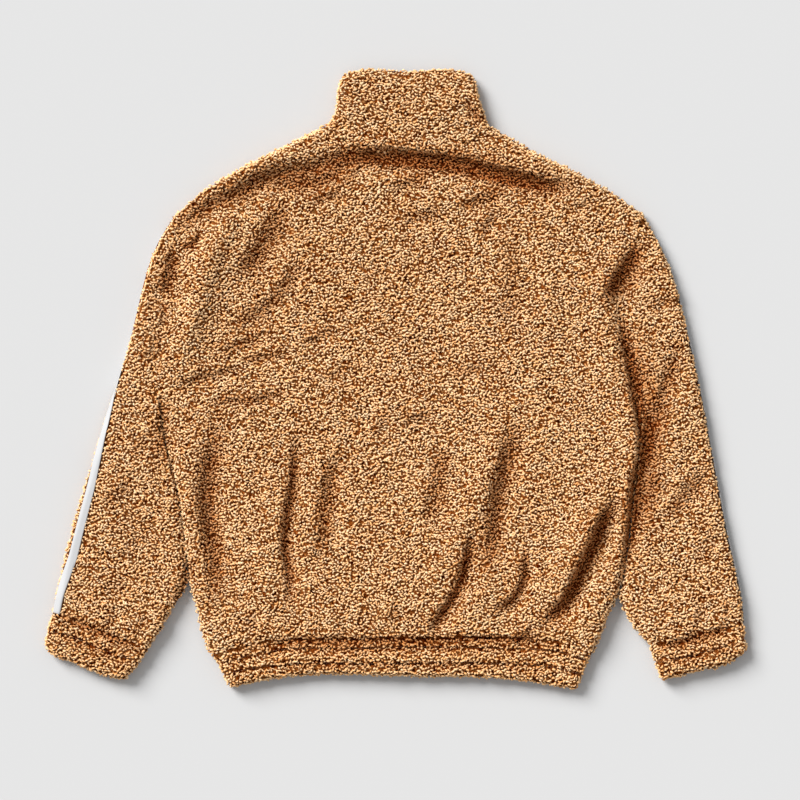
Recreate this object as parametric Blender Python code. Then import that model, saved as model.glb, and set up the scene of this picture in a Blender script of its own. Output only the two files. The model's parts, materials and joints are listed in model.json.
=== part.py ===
"""A zipped track jacket in looped fleece, laid flat on its front.

Lengths are in millimetres until an object is made, which is in metres. X runs across the
jacket, from the wearer's left to the right, Y runs from the hem to the collar, and Z is up
from the surface it lies on. The fronts lie on that surface and the back is on top.

Every cloth piece is a thin wall between an outer and an inner grid of points. In plan a
grid is spanned between four edges. Its height comes from the laid height of the jacket and
from the table of folds. Along a rolled edge, such as a side or a shoulder, the wall turns
down to the level where the upper layer meets the lower one.
"""

import math
from collections import namedtuple

import bpy
import numpy as np

MM = 0.001

# Cloth
WALL = 4.6  # looped fleece: 2 mm of knitted ground and 2.6 mm of loops
SEAM_GAP = 0.3
LAID_HEIGHT = 17.0  # two walls and the air between them
LEAST_AIR = 0.6
LEAST_HEIGHT = 2 * WALL + LEAST_AIR
ROLL_RADIUS = 8.4  # of a rolled edge, in plan
ROLL_ANGLES = (0, 45, 90)  # degrees, from the very edge to the flat
ROLLED = len(ROLL_ANGLES)
EDGE_WALL_MOST = 0.65 * ROLL_RADIUS

# Zip, centre front
ZIP_X = 11
SLOT_HALF = 6.0  # the fronts stop this far from the middle of the zip
TAPE_WIDTH = 11.2
TAPE_THICK = 0.6
CHAIN_WIDTH = 6.0
CHAIN_THICK = 1.6
CHAIN_MIDDLE = 3.7  # height of the chain's middle over the surface
SLIDER_LENGTH = 12
SLIDER_WIDTH = 8.6
SLIDER_PLATE = 0.6
SLIDER_CLEAR = 0.3
POST_LENGTH = 2.4
POST_WIDTH = 3.0
BRIDGE_WIDTH = 2.2
BRIDGE_LENGTH = 5.6
BRIDGE_BAR = 0.55
BRIDGE_BOTTOM = 0.15
PULL_THICK = 0.7
PULL_WIDTH = 7.0
PULL_LENGTH = 24
PULL_EYE_WIDTH = 3.2
PULL_EYE_LENGTH = 4.0
PULL_HINGE_HEIGHT = 1.35
EDGE_TO_SLIDER = 10  # from the collar's front edge down to the slider's middle
HEM_TO_CHAIN = 1.5

# Woven stripe, on the outer side of a sleeve
STRIPE_WIDTH = 11
STRIPE_THICK = 1.0
STRIPE_CLEAR = 0.9  # over the faces of the sleeve, whose rolled edge is cut flat between columns
STRIPE_COLUMNS = 6
STRIPE_STEPS = {"left": 3, "right": 1}  # between two rows of the sleeve: the left one crosses its edge
STRIPE_END_GAP = 0.08  # share of the sleeve's last step that stays bare at the cuff
STRIPE_LOWEST = -7.0  # it stays clear of the surface that the sleeve lies on

# How finely each grid is cut
NECK_COLUMNS = 14
SHOULDER_COLUMNS = 15
SIDE_ROWS = 20  # of the back, from the hem to the armpit
FRONT_SIDE_ROWS = 6
FRONT_SHOULDER_COLUMNS = 4
FRONT_NECK_COLUMNS = 2
SLEEVE_ROWS_BESIDE = 13  # while the sleeve lies against the body
SLEEVE_ROWS_FREE = 6  # from there to the cuff
ARMHOLE_SHARES = (0.12, 0.24, 0.36, 0.47, 0.57, 0.66, 0.74, 0.81, 0.87, 0.93)  # from the armpit up
ARMHOLE_SHARES_BELOW = (0.26, 0.51, 0.78)  # those of the lower layer

# Plan of the body. Each row is a level, and where the left and right edges lie there.
Level = namedtuple("Level", "y left right")
SIDE_LEVELS = (
    Level(-330, -219, 234),  # hem seam
    Level(-313, -229, 243),
    Level(-277, -237, 257),
    Level(-245, -247, 271),
    Level(-217, -250, 276),
    Level(-140, -260, 285),
    Level(-73, -276, 292),
    Level(-25, -285, 288.5),  # armpits
)
ARMHOLE_LEVELS = (
    SIDE_LEVELS[-1],
    Level(15, -287, 281),
    Level(60, -286, 272),
    Level(115, -281, 270),
    Level(163, -271, 284),
    Level(200, -261, 296),  # shoulder points
)
SHOULDER_LEFT = ((-261, 200), (-232, 226), (-191, 251), (-122, 287), (-86, 305))
SHOULDER_RIGHT = ((296, 200), (257, 227), (215, 251), (142, 287), (113, 306))
NECK_BACK = ((-86, 305), (-58, 287), (-25, 278), (15, 275), (58, 278), (88, 288), (113, 306))
NECK_FRONT_DEPTH = 29  # of the middle of its front below its ends
HEM_SEAM = (
    (-219, -330), (-174, -319), (-132, -311), (-20, -309), (75, -306), (172, -312), (234, -330),
)
HEM_EDGE = (
    (-200, -368), (-173, -361), (-132, -354), (30, -353.5), (125, -356), (169, -361), (218, -370),
)
COLLAR_EDGE = ((-66, 360), (-61, 367), (-51, 370), (15, 370.5), (82, 370), (91, 367), (96, 359))
COLLAR_LEFT = ((-86, 305), (-76, 312), (-71, 324), (-71, 342), (-66, 360))
COLLAR_RIGHT = ((113, 306), (108, 317), (103, 333), (98, 348), (96, 359))
COLLAR_FRONT_DROP = 7  # of the middle of the collar's front edge below its back edge

# Plan of the sleeves. The inner edge first follows the body's side, down to the level
# where they part, and then runs free to the cuff. way is -1 on the left, 1 on the right.
SLEEVE_SIDE_GAP = 1.0
Sleeve = namedtuple("Sleeve", "way outer part_at free cuff_seam cuff_outer cuff_inner cuff_edge")
SLEEVES = {
    "left": Sleeve(
        way=-1,
        outer=((-261, 200), (-277, 179), (-297, 131), (-306, 95), (-322, 35), (-339, -17),
               (-361, -85), (-396, -205), (-412, -279)),
        part_at=-244,
        free=((-261, -265), (-275, -289), (-295, -322)),
        cuff_seam=((-412, -279), (-373, -292), (-339, -308), (-295, -322)),
        cuff_outer=((-412, -279), (-419, -303), (-420, -318)),
        cuff_inner=((-295, -322), (-308, -341), (-322, -358)),
        cuff_edge=((-420, -318), (-414, -325), (-385, -337), (-358, -349), (-322, -358)),
    ),
    "right": Sleeve(
        way=1,
        outer=((296, 200), (309, 179), (332, 131), (343, 90), (364, -1), (382, -97),
               (400, -193), (416, -265), (418, -292)),
        part_at=-256,
        free=((274, -277), (289, -301), (304, -317)),
        cuff_seam=((418, -292), (391, -298), (360, -307), (304, -317)),
        cuff_outer=((418, -292), (420, -307), (422, -321)),
        cuff_inner=((304, -317), (309, -338), (318, -359)),
        cuff_edge=((422, -321), (401, -337), (354, -349), (318, -359)),
    ),
}

# Swell of the gathered cloth over a band, and how far from the band it is highest
Puff = namedtuple("Puff", "rise at")
HEM_PUFF = Puff(3.6, 30)
CUFF_PUFF = Puff(2.6, 22)

# Doubled bands. Each row of a table is one line along the band: its share of the way from
# seam to edge, the height over the surface, the wall, and the lift of the underside.
Line = namedtuple("Line", "share height wall lift")
HEM_LINES = (
    Line(0.00, LAID_HEIGHT, 4.8, 0.0),
    Line(0.12, 19.0, 7.4, 0.0),
    Line(0.26, 16.4, 7.0, 0.0),
    Line(0.46, 19.4, 8.2, 0.0),
    Line(0.66, 16.4, 7.0, 0.0),
    Line(0.86, 18.6, 7.6, 0.0),
    Line(1.00, 14.0, 5.2, 1.4),
)
CUFF_LINES = (
    Line(0.00, LAID_HEIGHT, 4.8, 0.0),
    Line(0.15, 19.4, 7.6, 0.0),
    Line(0.34, 16.6, 7.2, 0.0),
    Line(0.62, 19.4, 8.0, 0.0),
    Line(0.86, 18.2, 7.6, 0.0),
    Line(1.00, 13.6, 5.0, 1.4),
)
COLLAR_LINES = (
    Line(0.00, LAID_HEIGHT, 4.8, 0.0),
    Line(0.12, 18.6, 6.8, 0.0),
    Line(0.38, 19.6, 7.6, 0.0),
    Line(0.68, 19.6, 7.8, 0.0),
    Line(0.92, 18.4, 7.4, 0.0),
    Line(1.00, 14.6, 5.6, 1.2),
)

# The folds. rise is the height of a ridge, or minus the depth of a valley, half_width is
# how far from its line it has fallen to a third, and the fades are shares of its length.
Fold = namedtuple("Fold", "name rise half_width fade_in fade_out path")
FOLDS = (
    Fold("neck valley, left", -6.4, 13, 0.30, 0.15,
         ((-262, 182), (-235, 208), (-187, 235), (-127, 252), (-48, 277))),
    Fold("neck valley, right", -6.4, 13, 0.10, 0.45,
         ((-48, 276), (41, 269), (101, 262), (150, 248), (245, 227))),
    Fold("shoulder roll, left", 5.5, 16, 0.30, 0.20,
         ((-238, 214), (-190, 243), (-122, 276), (-70, 292))),
    Fold("shoulder roll, right", 5.2, 15, 0.20, 0.45,
         ((95, 288), (150, 270), (215, 244), (262, 216))),
    Fold("yoke, left", 1.8, 24, 0.30, 0.30, ((-150, 225), (-80, 245), (0, 248))),
    Fold("yoke, right", 1.6, 24, 0.30, 0.30, ((0, 246), (90, 240), (180, 222))),
    Fold("blade ridge", 6.5, 20, 0.30, 0.20, ((-178, 214), (-217, 165), (-236, 95), (-266, 8))),
    Fold("shoulder hook", -3.0, 8, 0.30, 0.30, ((-261, 150), (-252, 168), (-226, 172))),
    Fold("blade valley", -4.2, 15, 0.35, 0.35, ((-132, 222), (-157, 167), (-181, 100))),
    Fold("blade valley, lower", -2.4, 11, 0.35, 0.35, ((-112, 115), (-188, 57))),
    Fold("back drag line", -1.4, 12, 0.40, 0.40, ((-50, 85), (-118, 32))),
    Fold("level crease, left", -2.0, 9, 0.30, 0.40, ((-268, -8), (-200, -16), (-122, -18))),
    Fold("panel step, right", 1.6, 34, 0.30, 0.30, ((190, 215), (196, 110), (188, 20))),
    Fold("armhole, left", -3.0, 10, 0.20, 0.30,
         ((-262, 196), (-281, 115), (-286, 60), (-286, -20))),
    Fold("armhole, right", -6.4, 11, 0.35, 0.05,
         ((294, 190), (284, 163), (270, 115), (272, 60), (288, -22))),
    Fold("armhole roll, right", 6.0, 15, 0.35, 0.10,
         ((262, 178), (248, 118), (252, 60), (270, -25))),
    Fold("side roll, right", 5.6, 14, 0.10, 0.30, ((270, -20), (270, -80), (262, -140))),
    Fold("side roll, left", 3.4, 13, 0.30, 0.40, ((-262, -60), (-250, -120), (-242, -190))),
    Fold("gather 1", -5.2, 11, 0.30, 0.25, ((-217, -37), (-228, -109), (-224, -170), (-217, -268))),
    Fold("gather 2, ridge", 4.6, 11, 0.35, 0.20,
         ((-137, -85), (-145, -150), (-149, -200), (-144, -285))),
    Fold("gather 2", -5.6, 9, 0.30, 0.15, ((-124, -73), (-130, -145), (-134, -195), (-130, -280))),
    Fold("gather 3", -3.2, 11, 0.35, 0.50, ((-66, -91), (-81, -121), (-85, -172))),
    Fold("gather 4", -2.0, 11, 0.40, 0.40, ((41, -49), (47, -150))),
    Fold("gather 5, ridge", 5.8, 13, 0.30, 0.25, ((125, -49), (101, -121), (71, -193), (28, -268))),
    Fold("gather 5", -4.4, 10, 0.30, 0.40, ((143, -43), (125, -109), (113, -169), (106, -222))),
    Fold("gather 6", -6.0, 9, 0.30, 0.10, ((90, -196), (71, -247), (42, -300))),
    Fold("gather 7, ridge", 3.8, 12, 0.40, 0.30, ((128, -190), (112, -240), (88, -290))),
    Fold("gather 7", -5.2, 9, 0.40, 0.25, ((156, -212), (144, -259), (118, -284))),
    Fold("gather 8, ridge", 8.4, 16, 0.30, 0.30, ((247, -112), (215, -193), (168, -272))),
    Fold("gather 8", -6.8, 11, 0.25, 0.20, ((263, -145), (234, -217), (204, -262), (170, -298))),
    Fold("side puff, right", 4.0, 14, 0.30, 0.30, ((262, -215), (238, -262), (214, -304))),
    Fold("sleeve crease, right", -5.0, 11, 0.35, 0.15,
         ((341, 46), (323, -2), (305, -61), (298, -100))),
    Fold("sleeve ridge, right", 3.6, 15, 0.30, 0.30, ((352, 10), (334, -50), (320, -110))),
    Fold("elbow crease, right", -3.0, 11, 0.35, 0.35, ((366, -105), (347, -148))),
    Fold("upper crease, right", -2.0, 8, 0.30, 0.30, ((292, 95), (334, 95))),
    Fold("sleeve ridge, left", 2.6, 18, 0.35, 0.35, ((-322, -60), (-336, -150), (-350, -235))),
    Fold("sleeve drag, left", -2.2, 11, 0.35, 0.35, ((-270, -150), (-310, -190))),
    Fold("collar dent, right", -2.8, 9, 0.30, 0.30, ((98, 330), (84, 318), (70, 322))),
    Fold("collar roll", 1.6, 14, 0.30, 0.30, ((-50, 300), (15, 296), (84, 302))),
)

# Where the middle of each stripe lies, at each level of the sleeve's outer edge: how far
# round the sleeve from the very edge, upwards. The right one stays under the edge.
StripePlace = namedtuple("StripePlace", "y round")
STRIPE_PLACES = {
    "left": (
        StripePlace(-280, 9.3),
        StripePlace(-240, 13.1),
        StripePlace(-205, 16.8),
        StripePlace(-120, 14.3),
        StripePlace(-85, 10.8),
        StripePlace(-25, 4.1),
        StripePlace(17, -4.2),
        StripePlace(45, -4.8),
    ),
    "right": (StripePlace(-292, -4.8), StripePlace(200, -4.8)),
}

Finish = namedtuple("Finish", "name colour roughness metallic")
FLEECE = Finish("looped_fleece", (0.56, 0.33, 0.14), 0.95, 0.0)
BAND = Finish("band_fleece", (0.42, 0.24, 0.10), 0.95, 0.0)
WHITE = Finish("woven_stripe", (0.80, 0.82, 0.86), 0.7, 0.0)
TAPE = Finish("zip_tape", (0.30, 0.17, 0.07), 0.6, 0.0)
METAL = Finish("zip_metal", (0.62, 0.58, 0.50), 0.35, 1.0)

Patch = namedtuple("Patch", "plan roll inset")  # grids of plan points, roll and inset
Walls = namedtuple("Walls", "outer inner")  # grids of points in space


# ------------------------------------------------------------------ lines in plan


def smooth(points, steps=16):
    """The smooth line through these plan points, with this many steps between each two."""
    points = np.array(points, float)
    chord = lengths(points)
    if len(points) == 2:
        return along(points, np.linspace(0, chord[-1], steps + 1))
    slope = np.gradient(points, chord, axis=0, edge_order=2)
    t = np.linspace(0, 1, steps + 1)[:, None]
    runs = [points[:1]]
    for i, reach in enumerate(np.diff(chord)):
        run = (
            (1 + 2 * t) * (1 - t) ** 2 * points[i]
            + t * (1 - t) ** 2 * reach * slope[i]
            + t * t * (3 - 2 * t) * points[i + 1]
            + t * t * (t - 1) * reach * slope[i + 1]
        )
        runs.append(run[1:])
    return np.vstack(runs)


def lengths(line):
    """How far along a line each of its points is."""
    return np.append(0, np.cumsum(np.hypot(*np.diff(line, axis=0).T)))


def along(line, places):
    """The points at these distances along a line."""
    measure = lengths(line)
    return np.stack([np.interp(places, measure, line[:, k]) for k in (0, 1)], axis=-1)


def moved(line, distance):
    """The line moved sideways, to its left where the distance is positive."""
    ahead = np.gradient(line, axis=0)
    ahead /= np.hypot(*ahead.T)[:, None]
    return line + distance * np.stack([-ahead[:, 1], ahead[:, 0]], axis=-1)


def even_shares(count):
    return np.arange(1, count) / count


def near_edge():
    """How far in from a rolled edge its first columns lie, in plan."""
    return np.array([ROLL_RADIUS * (1 - math.cos(math.radians(a))) for a in ROLL_ANGLES])


def cut_across(line, shares):
    """Points along a line between two rolled edges, with the given shares between them."""
    length = lengths(line)[-1]
    middle = ROLL_RADIUS + np.array(shares) * (length - 2 * ROLL_RADIUS)
    return along(line, np.concatenate([near_edge(), middle, length - near_edge()[::-1]]))


def cut_from_edge(line, shares):
    """Points along a line from a rolled edge to a plain end."""
    length = lengths(line)[-1]
    middle = ROLL_RADIUS + np.array(shares) * (length - ROLL_RADIUS)
    return along(line, np.concatenate([near_edge(), middle, [length]]))


def up_to_zip(line, way):
    """The part of a line from its left (way -1) or right end (way 1) to the zip's slot."""
    edge = ZIP_X + way * SLOT_HALF
    y = np.interp(edge, line[:, 0], line[:, 1])
    kept = line[(line[:, 0] - edge) * way > 0]
    return np.vstack([kept[::-way], [edge, y]])


def spanned(low, high, left, right):
    """The grid between four edges, with rows from low to high and columns from left to right."""
    left, right = left.copy(), right.copy()
    left[0], left[-1], right[0], right[-1] = low[0], high[0], low[-1], high[-1]
    u = (lengths(low) / lengths(low)[-1] + lengths(high) / lengths(high)[-1]) / 2
    v = (lengths(left) / lengths(left)[-1] + lengths(right) / lengths(right)[-1]) / 2
    u, v = u[None, :, None], v[:, None, None]
    across = (1 - u) * left[:, None] + u * right[:, None]
    up = (1 - v) * low[None] + v * high[None]
    corners = (1 - v) * ((1 - u) * low[0] + u * low[-1]) + v * ((1 - u) * high[0] + u * high[-1])
    return across + up - corners


# ------------------------------------------------------------------ heights


def ease(share):
    share = np.clip(share, 0, 1)
    return share * share * (3 - 2 * share)


def fold_height(plan):
    """What the folds add at each plan point."""
    flat = plan.reshape(-1, 2)
    rows = np.arange(len(flat))
    total = np.zeros(len(flat))
    for fold in FOLDS:
        line = smooth(fold.path, 6)
        start, step, measure = line[:-1], np.diff(line, axis=0), lengths(line)
        share = ((flat[:, None] - start) * step).sum(-1) / (step * step).sum(-1)
        share = np.clip(share, 0, 1)
        offset = flat[:, None] - start - share[..., None] * step
        away = np.hypot(offset[..., 0], offset[..., 1])
        nearest = away.argmin(1)
        place = (measure[nearest] + share[rows, nearest] * np.diff(measure)[nearest]) / measure[-1]
        fade = ease(place / fold.fade_in) * ease((1 - place) / fold.fade_out)
        total += fold.rise * fade * np.exp(-((away[rows, nearest] / fold.half_width) ** 2))
    return total.reshape(plan.shape[:-1])


def puffed(distance, puff):
    """The swell of gathered cloth at a distance from its band."""
    share = np.maximum(distance, 0) / puff.at
    return puff.rise * share * np.exp(1 - share)


def body_height(plan):
    hem = smooth(HEM_SEAM)
    over_hem = plan[..., 1] - np.interp(plan[..., 0], hem[:, 0], hem[:, 1])
    return np.maximum(LAID_HEIGHT + puffed(over_hem, HEM_PUFF) + fold_height(plan), LEAST_HEIGHT)


def sleeve_height(plan):
    over_cuff = np.hypot(*np.moveaxis(plan - plan[-1:], -1, 0))
    return np.maximum(LAID_HEIGHT + puffed(over_cuff, CUFF_PUFF) + fold_height(plan), LEAST_HEIGHT)


# ------------------------------------------------------------------ walls


def roll_edge(plan, roll, inset, held, reach):
    """Turns down the first columns of a grid. held says how fully, and reach is the wall there."""
    way = plan[:, ROLLED] - plan[:, 0]
    way = way / np.hypot(way[:, 0], way[:, 1])[:, None]
    for column, angle in enumerate(ROLL_ANGLES):
        roll[:, column] *= 1 - held * (1 - math.sin(math.radians(angle)))
        inset[:, column] += (held * reach * math.cos(math.radians(angle)))[:, None] * way


def rolled_patch(plan, wall=WALL, left=None, right=None, high=None):
    """A layer with rolled edges: for each, how fully it is rolled at each of its points."""
    roll = np.ones(plan.shape[:2])
    inset = np.zeros_like(plan)
    reach = np.minimum(wall, EDGE_WALL_MOST)
    if left is not None:
        roll_edge(plan, roll, inset, left, reach)
    if right is not None:
        roll_edge(plan[:, ::-1], roll[:, ::-1], inset[:, ::-1], right, reach)
    if high is not None:
        turned = [grid[::-1].swapaxes(0, 1) for grid in (plan, roll, inset)]
        roll_edge(*turned, high, reach)
    return Patch(plan, roll, inset)


def upper_wall(patch, height, wall, meeting, half_gap=0.0):
    """The wall of an upper layer, whose outer face is at the given height."""
    meeting = meeting + half_gap
    outer = np.dstack([patch.plan, meeting + (height - meeting) * patch.roll])
    inner = np.dstack([patch.plan + patch.inset, meeting + (height - wall - meeting) * patch.roll])
    return Walls(outer, inner)


def lower_wall(patch, lift, wall, meeting, half_gap=0.0):
    """The wall of a lower layer, which lies on the surface."""
    return upper_wall(patch, lift, -wall, meeting, -half_gap)


def side_by_side(*walls):
    """Walls in one grid. The first column of each stands in for the last of the one before."""
    outer = [w.outer[:, :-1] for w in walls[:-1]] + [walls[-1].outer]
    inner = [w.inner[:, :-1] for w in walls[:-1]] + [walls[-1].inner]
    return Walls(np.concatenate(outer, axis=1), np.concatenate(inner, axis=1))


def reversed_columns(walls):
    return Walls(walls.outer[:, ::-1], walls.inner[:, ::-1])


def ring(upper, lower):
    """A tube of two layers that share their first and last columns."""
    outer = np.concatenate([upper.outer, lower.outer[:, -2:0:-1]], axis=1)
    inner = np.concatenate([upper.inner, lower.inner[:, -2:0:-1]], axis=1)
    return Walls(outer, inner)


# ------------------------------------------------------------------ seams shared by two pieces


def side_line(way, levels):
    return smooth([(level.left if way < 0 else level.right, level.y) for level in levels])


def armhole(way, shares):
    """Points of an armhole, from the armpit up to the shoulder."""
    return cut_across(side_line(way, ARMHOLE_LEVELS), shares)


def hem_columns():
    return 2 * SHOULDER_COLUMNS + NECK_COLUMNS + 4


def front_columns():
    return FRONT_SHOULDER_COLUMNS + FRONT_NECK_COLUMNS + 2


def hem_above():
    return cut_across(smooth(HEM_SEAM), even_shares(hem_columns()))


def hem_below(way):
    return cut_from_edge(up_to_zip(smooth(HEM_SEAM), way), even_shares(front_columns()))


def neck_above():
    return cut_across(smooth(NECK_BACK), even_shares(NECK_COLUMNS))


def front_neck():
    """The front of the neck seam, an arc as wide as the back of it."""
    (left, left_y), (right, right_y) = NECK_BACK[0], NECK_BACK[-1]
    share = np.linspace(0, 1, 49)
    dip = NECK_FRONT_DEPTH * np.sin(math.pi * share) ** 0.8
    return np.stack([left + share * (right - left), left_y + share * (right_y - left_y) - dip], axis=-1)


def neck_below(way):
    return cut_from_edge(up_to_zip(front_neck(), way), even_shares(FRONT_NECK_COLUMNS))


def cuff_seam(sleeve, shares):
    """Points of a cuff's seam, from the outer to the inner edge."""
    return cut_across(smooth(sleeve.cuff_seam), even_shares(len(shares) + 1))


# ------------------------------------------------------------------ body


def held_up_to_armpit(side_rows, arm_count):
    """How fully each row of a body panel is rolled at its side: not at all along the armhole."""
    rise = np.array([math.sin(math.radians(a)) for a in ROLL_ANGLES])
    open_rows = arm_count - ROLLED
    return np.concatenate([np.ones(side_rows), 1 - rise, np.zeros(open_rows)])


def held_over_shoulder(shoulder_count, neck_count, neck_ends):
    """How fully each column of a body panel is rolled at its top: not at all along the neck."""
    fall = 1 - np.array([math.sin(math.radians(a)) for a in ROLL_ANGLES])
    neck = np.zeros(neck_count)
    neck[:ROLLED] = fall
    shoulder = np.ones(shoulder_count)
    if neck_ends == 2:
        neck[-ROLLED:] = fall[::-1]
        return np.concatenate([shoulder, neck, shoulder])
    return np.concatenate([shoulder, neck])


def panel_side(way, rows, shares):
    """The side edge of a body panel, from the hem up to the shoulder."""
    flank = side_line(way, SIDE_LEVELS)
    flank = along(flank, np.arange(rows) / rows * lengths(flank)[-1])
    return np.vstack([flank, moved(armhole(way, shares), way * SEAM_GAP / 2)])


def back_walls():
    low = moved(hem_above(), SEAM_GAP / 2)
    neck = moved(neck_above(), -SEAM_GAP / 2)
    left, right = [panel_side(way, SIDE_ROWS, ARMHOLE_SHARES) for way in (-1, 1)]
    shares = even_shares(SHOULDER_COLUMNS)
    shoulders = [cut_from_edge(smooth(s), shares)[:-1] for s in (SHOULDER_LEFT, SHOULDER_RIGHT)]
    shoulders[0][0], shoulders[1][0] = left[-1], right[-1]
    high = np.vstack([shoulders[0], neck, shoulders[1][::-1]])
    plan = spanned(low, high, left, right)
    held = held_up_to_armpit(SIDE_ROWS, len(ARMHOLE_SHARES) + 2 * ROLLED)
    over = held_over_shoulder(len(shoulders[0]), len(neck), 2)
    patch = rolled_patch(plan, left=held, right=held, high=over)
    return upper_wall(patch, body_height(plan), WALL, LAID_HEIGHT / 2, SEAM_GAP / 2)


def front_walls(way):
    """A front, with its columns counted from the side to the zip's slot."""
    low = moved(hem_below(way), -way * SEAM_GAP / 2)
    neck = moved(neck_below(way), way * SEAM_GAP / 2)
    low[-1, 0] = neck[-1, 0] = ZIP_X + way * SLOT_HALF
    edge = panel_side(way, FRONT_SIDE_ROWS, ARMHOLE_SHARES_BELOW)
    shoulder = smooth(SHOULDER_LEFT if way < 0 else SHOULDER_RIGHT)
    shoulder = cut_from_edge(shoulder, even_shares(FRONT_SHOULDER_COLUMNS))[:-1]
    shoulder[0] = edge[-1]
    high = np.vstack([shoulder, neck])
    share = lengths(edge) / lengths(edge)[-1]
    slot = low[-1] + share[:, None] * (high[-1] - low[-1])
    plan = spanned(low, high, edge, slot)
    held = held_up_to_armpit(FRONT_SIDE_ROWS, len(ARMHOLE_SHARES_BELOW) + 2 * ROLLED)
    over = held_over_shoulder(len(shoulder), len(neck), 1)
    patch = rolled_patch(plan, left=held, high=over)
    return lower_wall(patch, 0.0, WALL, LAID_HEIGHT / 2, SEAM_GAP / 2)


# ------------------------------------------------------------------ sleeves, cuffs and stripes


def inner_edge(sleeve):
    """The inner edge of a sleeve: beside the body, then free."""
    beside = side_line(sleeve.way, SIDE_LEVELS)
    beside = moved(beside, -sleeve.way * SLEEVE_SIDE_GAP)[::-1]
    beside = beside[beside[:, 1] > sleeve.part_at]
    free = smooth([tuple(beside[-1]), *sleeve.free])
    runs = ((beside, SLEEVE_ROWS_BESIDE), (free, SLEEVE_ROWS_FREE))
    cut = [along(run, np.arange(rows) / rows * lengths(run)[-1]) for run, rows in runs]
    return np.vstack([*cut, free[-1:]])


def sleeve_layer(sleeve, shares):
    """The plan of one layer of a sleeve, from armhole to cuff and from outer to inner edge."""
    low = moved(armhole(sleeve.way, shares), -sleeve.way * SEAM_GAP / 2)[::-1]
    high = moved(cuff_seam(sleeve, shares), -sleeve.way * SEAM_GAP / 2)
    inner = inner_edge(sleeve)
    outer = smooth(sleeve.outer)
    outer = along(outer, np.linspace(0, lengths(outer)[-1], len(inner)))
    plan = spanned(low, high, outer, inner)
    held = np.ones(len(plan))
    return rolled_patch(plan, left=held, right=held)


def sleeve_walls(sleeve):
    above = sleeve_layer(sleeve, ARMHOLE_SHARES)
    below = sleeve_layer(sleeve, ARMHOLE_SHARES_BELOW)
    meeting = LAID_HEIGHT / 2
    return ring(
        upper_wall(above, sleeve_height(above.plan), WALL, meeting),
        lower_wall(below, 0.0, WALL, meeting),
    )


def column(lines, name):
    """One column of a band's table, to set against the rows of a grid."""
    return np.array([getattr(line, name) for line in lines])[:, None]


def band_layer(low, high, left, right, lines, both_edges):
    """The plan of one layer of a band, with a row for each of its lines."""
    share = column(lines, "share")[:, 0]
    left, right = [along(edge, share * lengths(edge)[-1]) for edge in (left, right)]
    plan = spanned(low, high, left, right)
    held = np.ones(len(lines))
    wall = column(lines, "wall")[:, 0]
    return rolled_patch(plan, wall, left=held, right=held if both_edges else None)


def band_above(patch, lines):
    height, wall = column(lines, "height"), column(lines, "wall")
    fade = 1 - column(lines, "share")
    folded = np.maximum(height + fade * fold_height(patch.plan), 2 * wall + LEAST_AIR)
    return upper_wall(patch, folded, wall, height / 2)


def band_below(patch, lines):
    return lower_wall(patch, column(lines, "lift"), column(lines, "wall"), column(lines, "height") / 2)


def cuff_walls(sleeve):
    layers = []
    for shares in (ARMHOLE_SHARES, ARMHOLE_SHARES_BELOW):
        low = moved(cuff_seam(sleeve, shares), sleeve.way * SEAM_GAP / 2)
        high = cut_across(smooth(sleeve.cuff_edge), even_shares(len(shares) + 1))
        edges = smooth(sleeve.cuff_outer), smooth(sleeve.cuff_inner)
        layers.append(band_layer(low, high, *edges, CUFF_LINES, True))
    return ring(band_above(layers[0], CUFF_LINES), band_below(layers[1], CUFF_LINES))


def open_band(above, below_left, below_right, lines):
    """A band that starts and ends at the zip: under the left, over the back, under the right."""
    return side_by_side(
        reversed_columns(band_below(below_left, lines)),
        band_above(above, lines),
        band_below(below_right, lines),
    )


def slot_line(low, high):
    return np.array([low[-1], high[-1]])


def hem_band_walls():
    edges = [smooth([HEM_SEAM[k], HEM_EDGE[k]]) for k in (0, -1)]
    low = moved(hem_above(), -SEAM_GAP / 2)
    high = cut_across(smooth(HEM_EDGE), even_shares(hem_columns()))
    above = band_layer(low, high, *edges, HEM_LINES, True)
    below = []
    for way, edge in zip((-1, 1), edges):
        low = moved(hem_below(way), way * SEAM_GAP / 2)
        high = cut_from_edge(up_to_zip(smooth(HEM_EDGE), way), even_shares(front_columns()))
        low[-1, 0] = high[-1, 0]
        below.append(band_layer(low, high, edge, slot_line(low, high), HEM_LINES, False))
    return open_band(above, *below, HEM_LINES)


def collar_front_edge():
    line = smooth(COLLAR_EDGE)
    share = lengths(line) / lengths(line)[-1]
    return np.stack([line[:, 0], line[:, 1] - COLLAR_FRONT_DROP * np.sin(math.pi * share)], axis=-1)


def collar_walls():
    edges = smooth(COLLAR_LEFT), smooth(COLLAR_RIGHT)
    low = moved(neck_above(), SEAM_GAP / 2)
    high = cut_across(smooth(COLLAR_EDGE), even_shares(NECK_COLUMNS))
    above = band_layer(low, high, *edges, COLLAR_LINES, True)
    below = []
    for way, edge in zip((-1, 1), edges):
        low = moved(neck_below(way), -way * SEAM_GAP / 2)
        high = cut_from_edge(up_to_zip(collar_front_edge(), way), even_shares(FRONT_NECK_COLUMNS))
        low[-1, 0] = high[-1, 0]
        below.append(band_layer(low, high, edge, slot_line(low, high), COLLAR_LINES, False))
    return open_band(above, *below, COLLAR_LINES)


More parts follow.
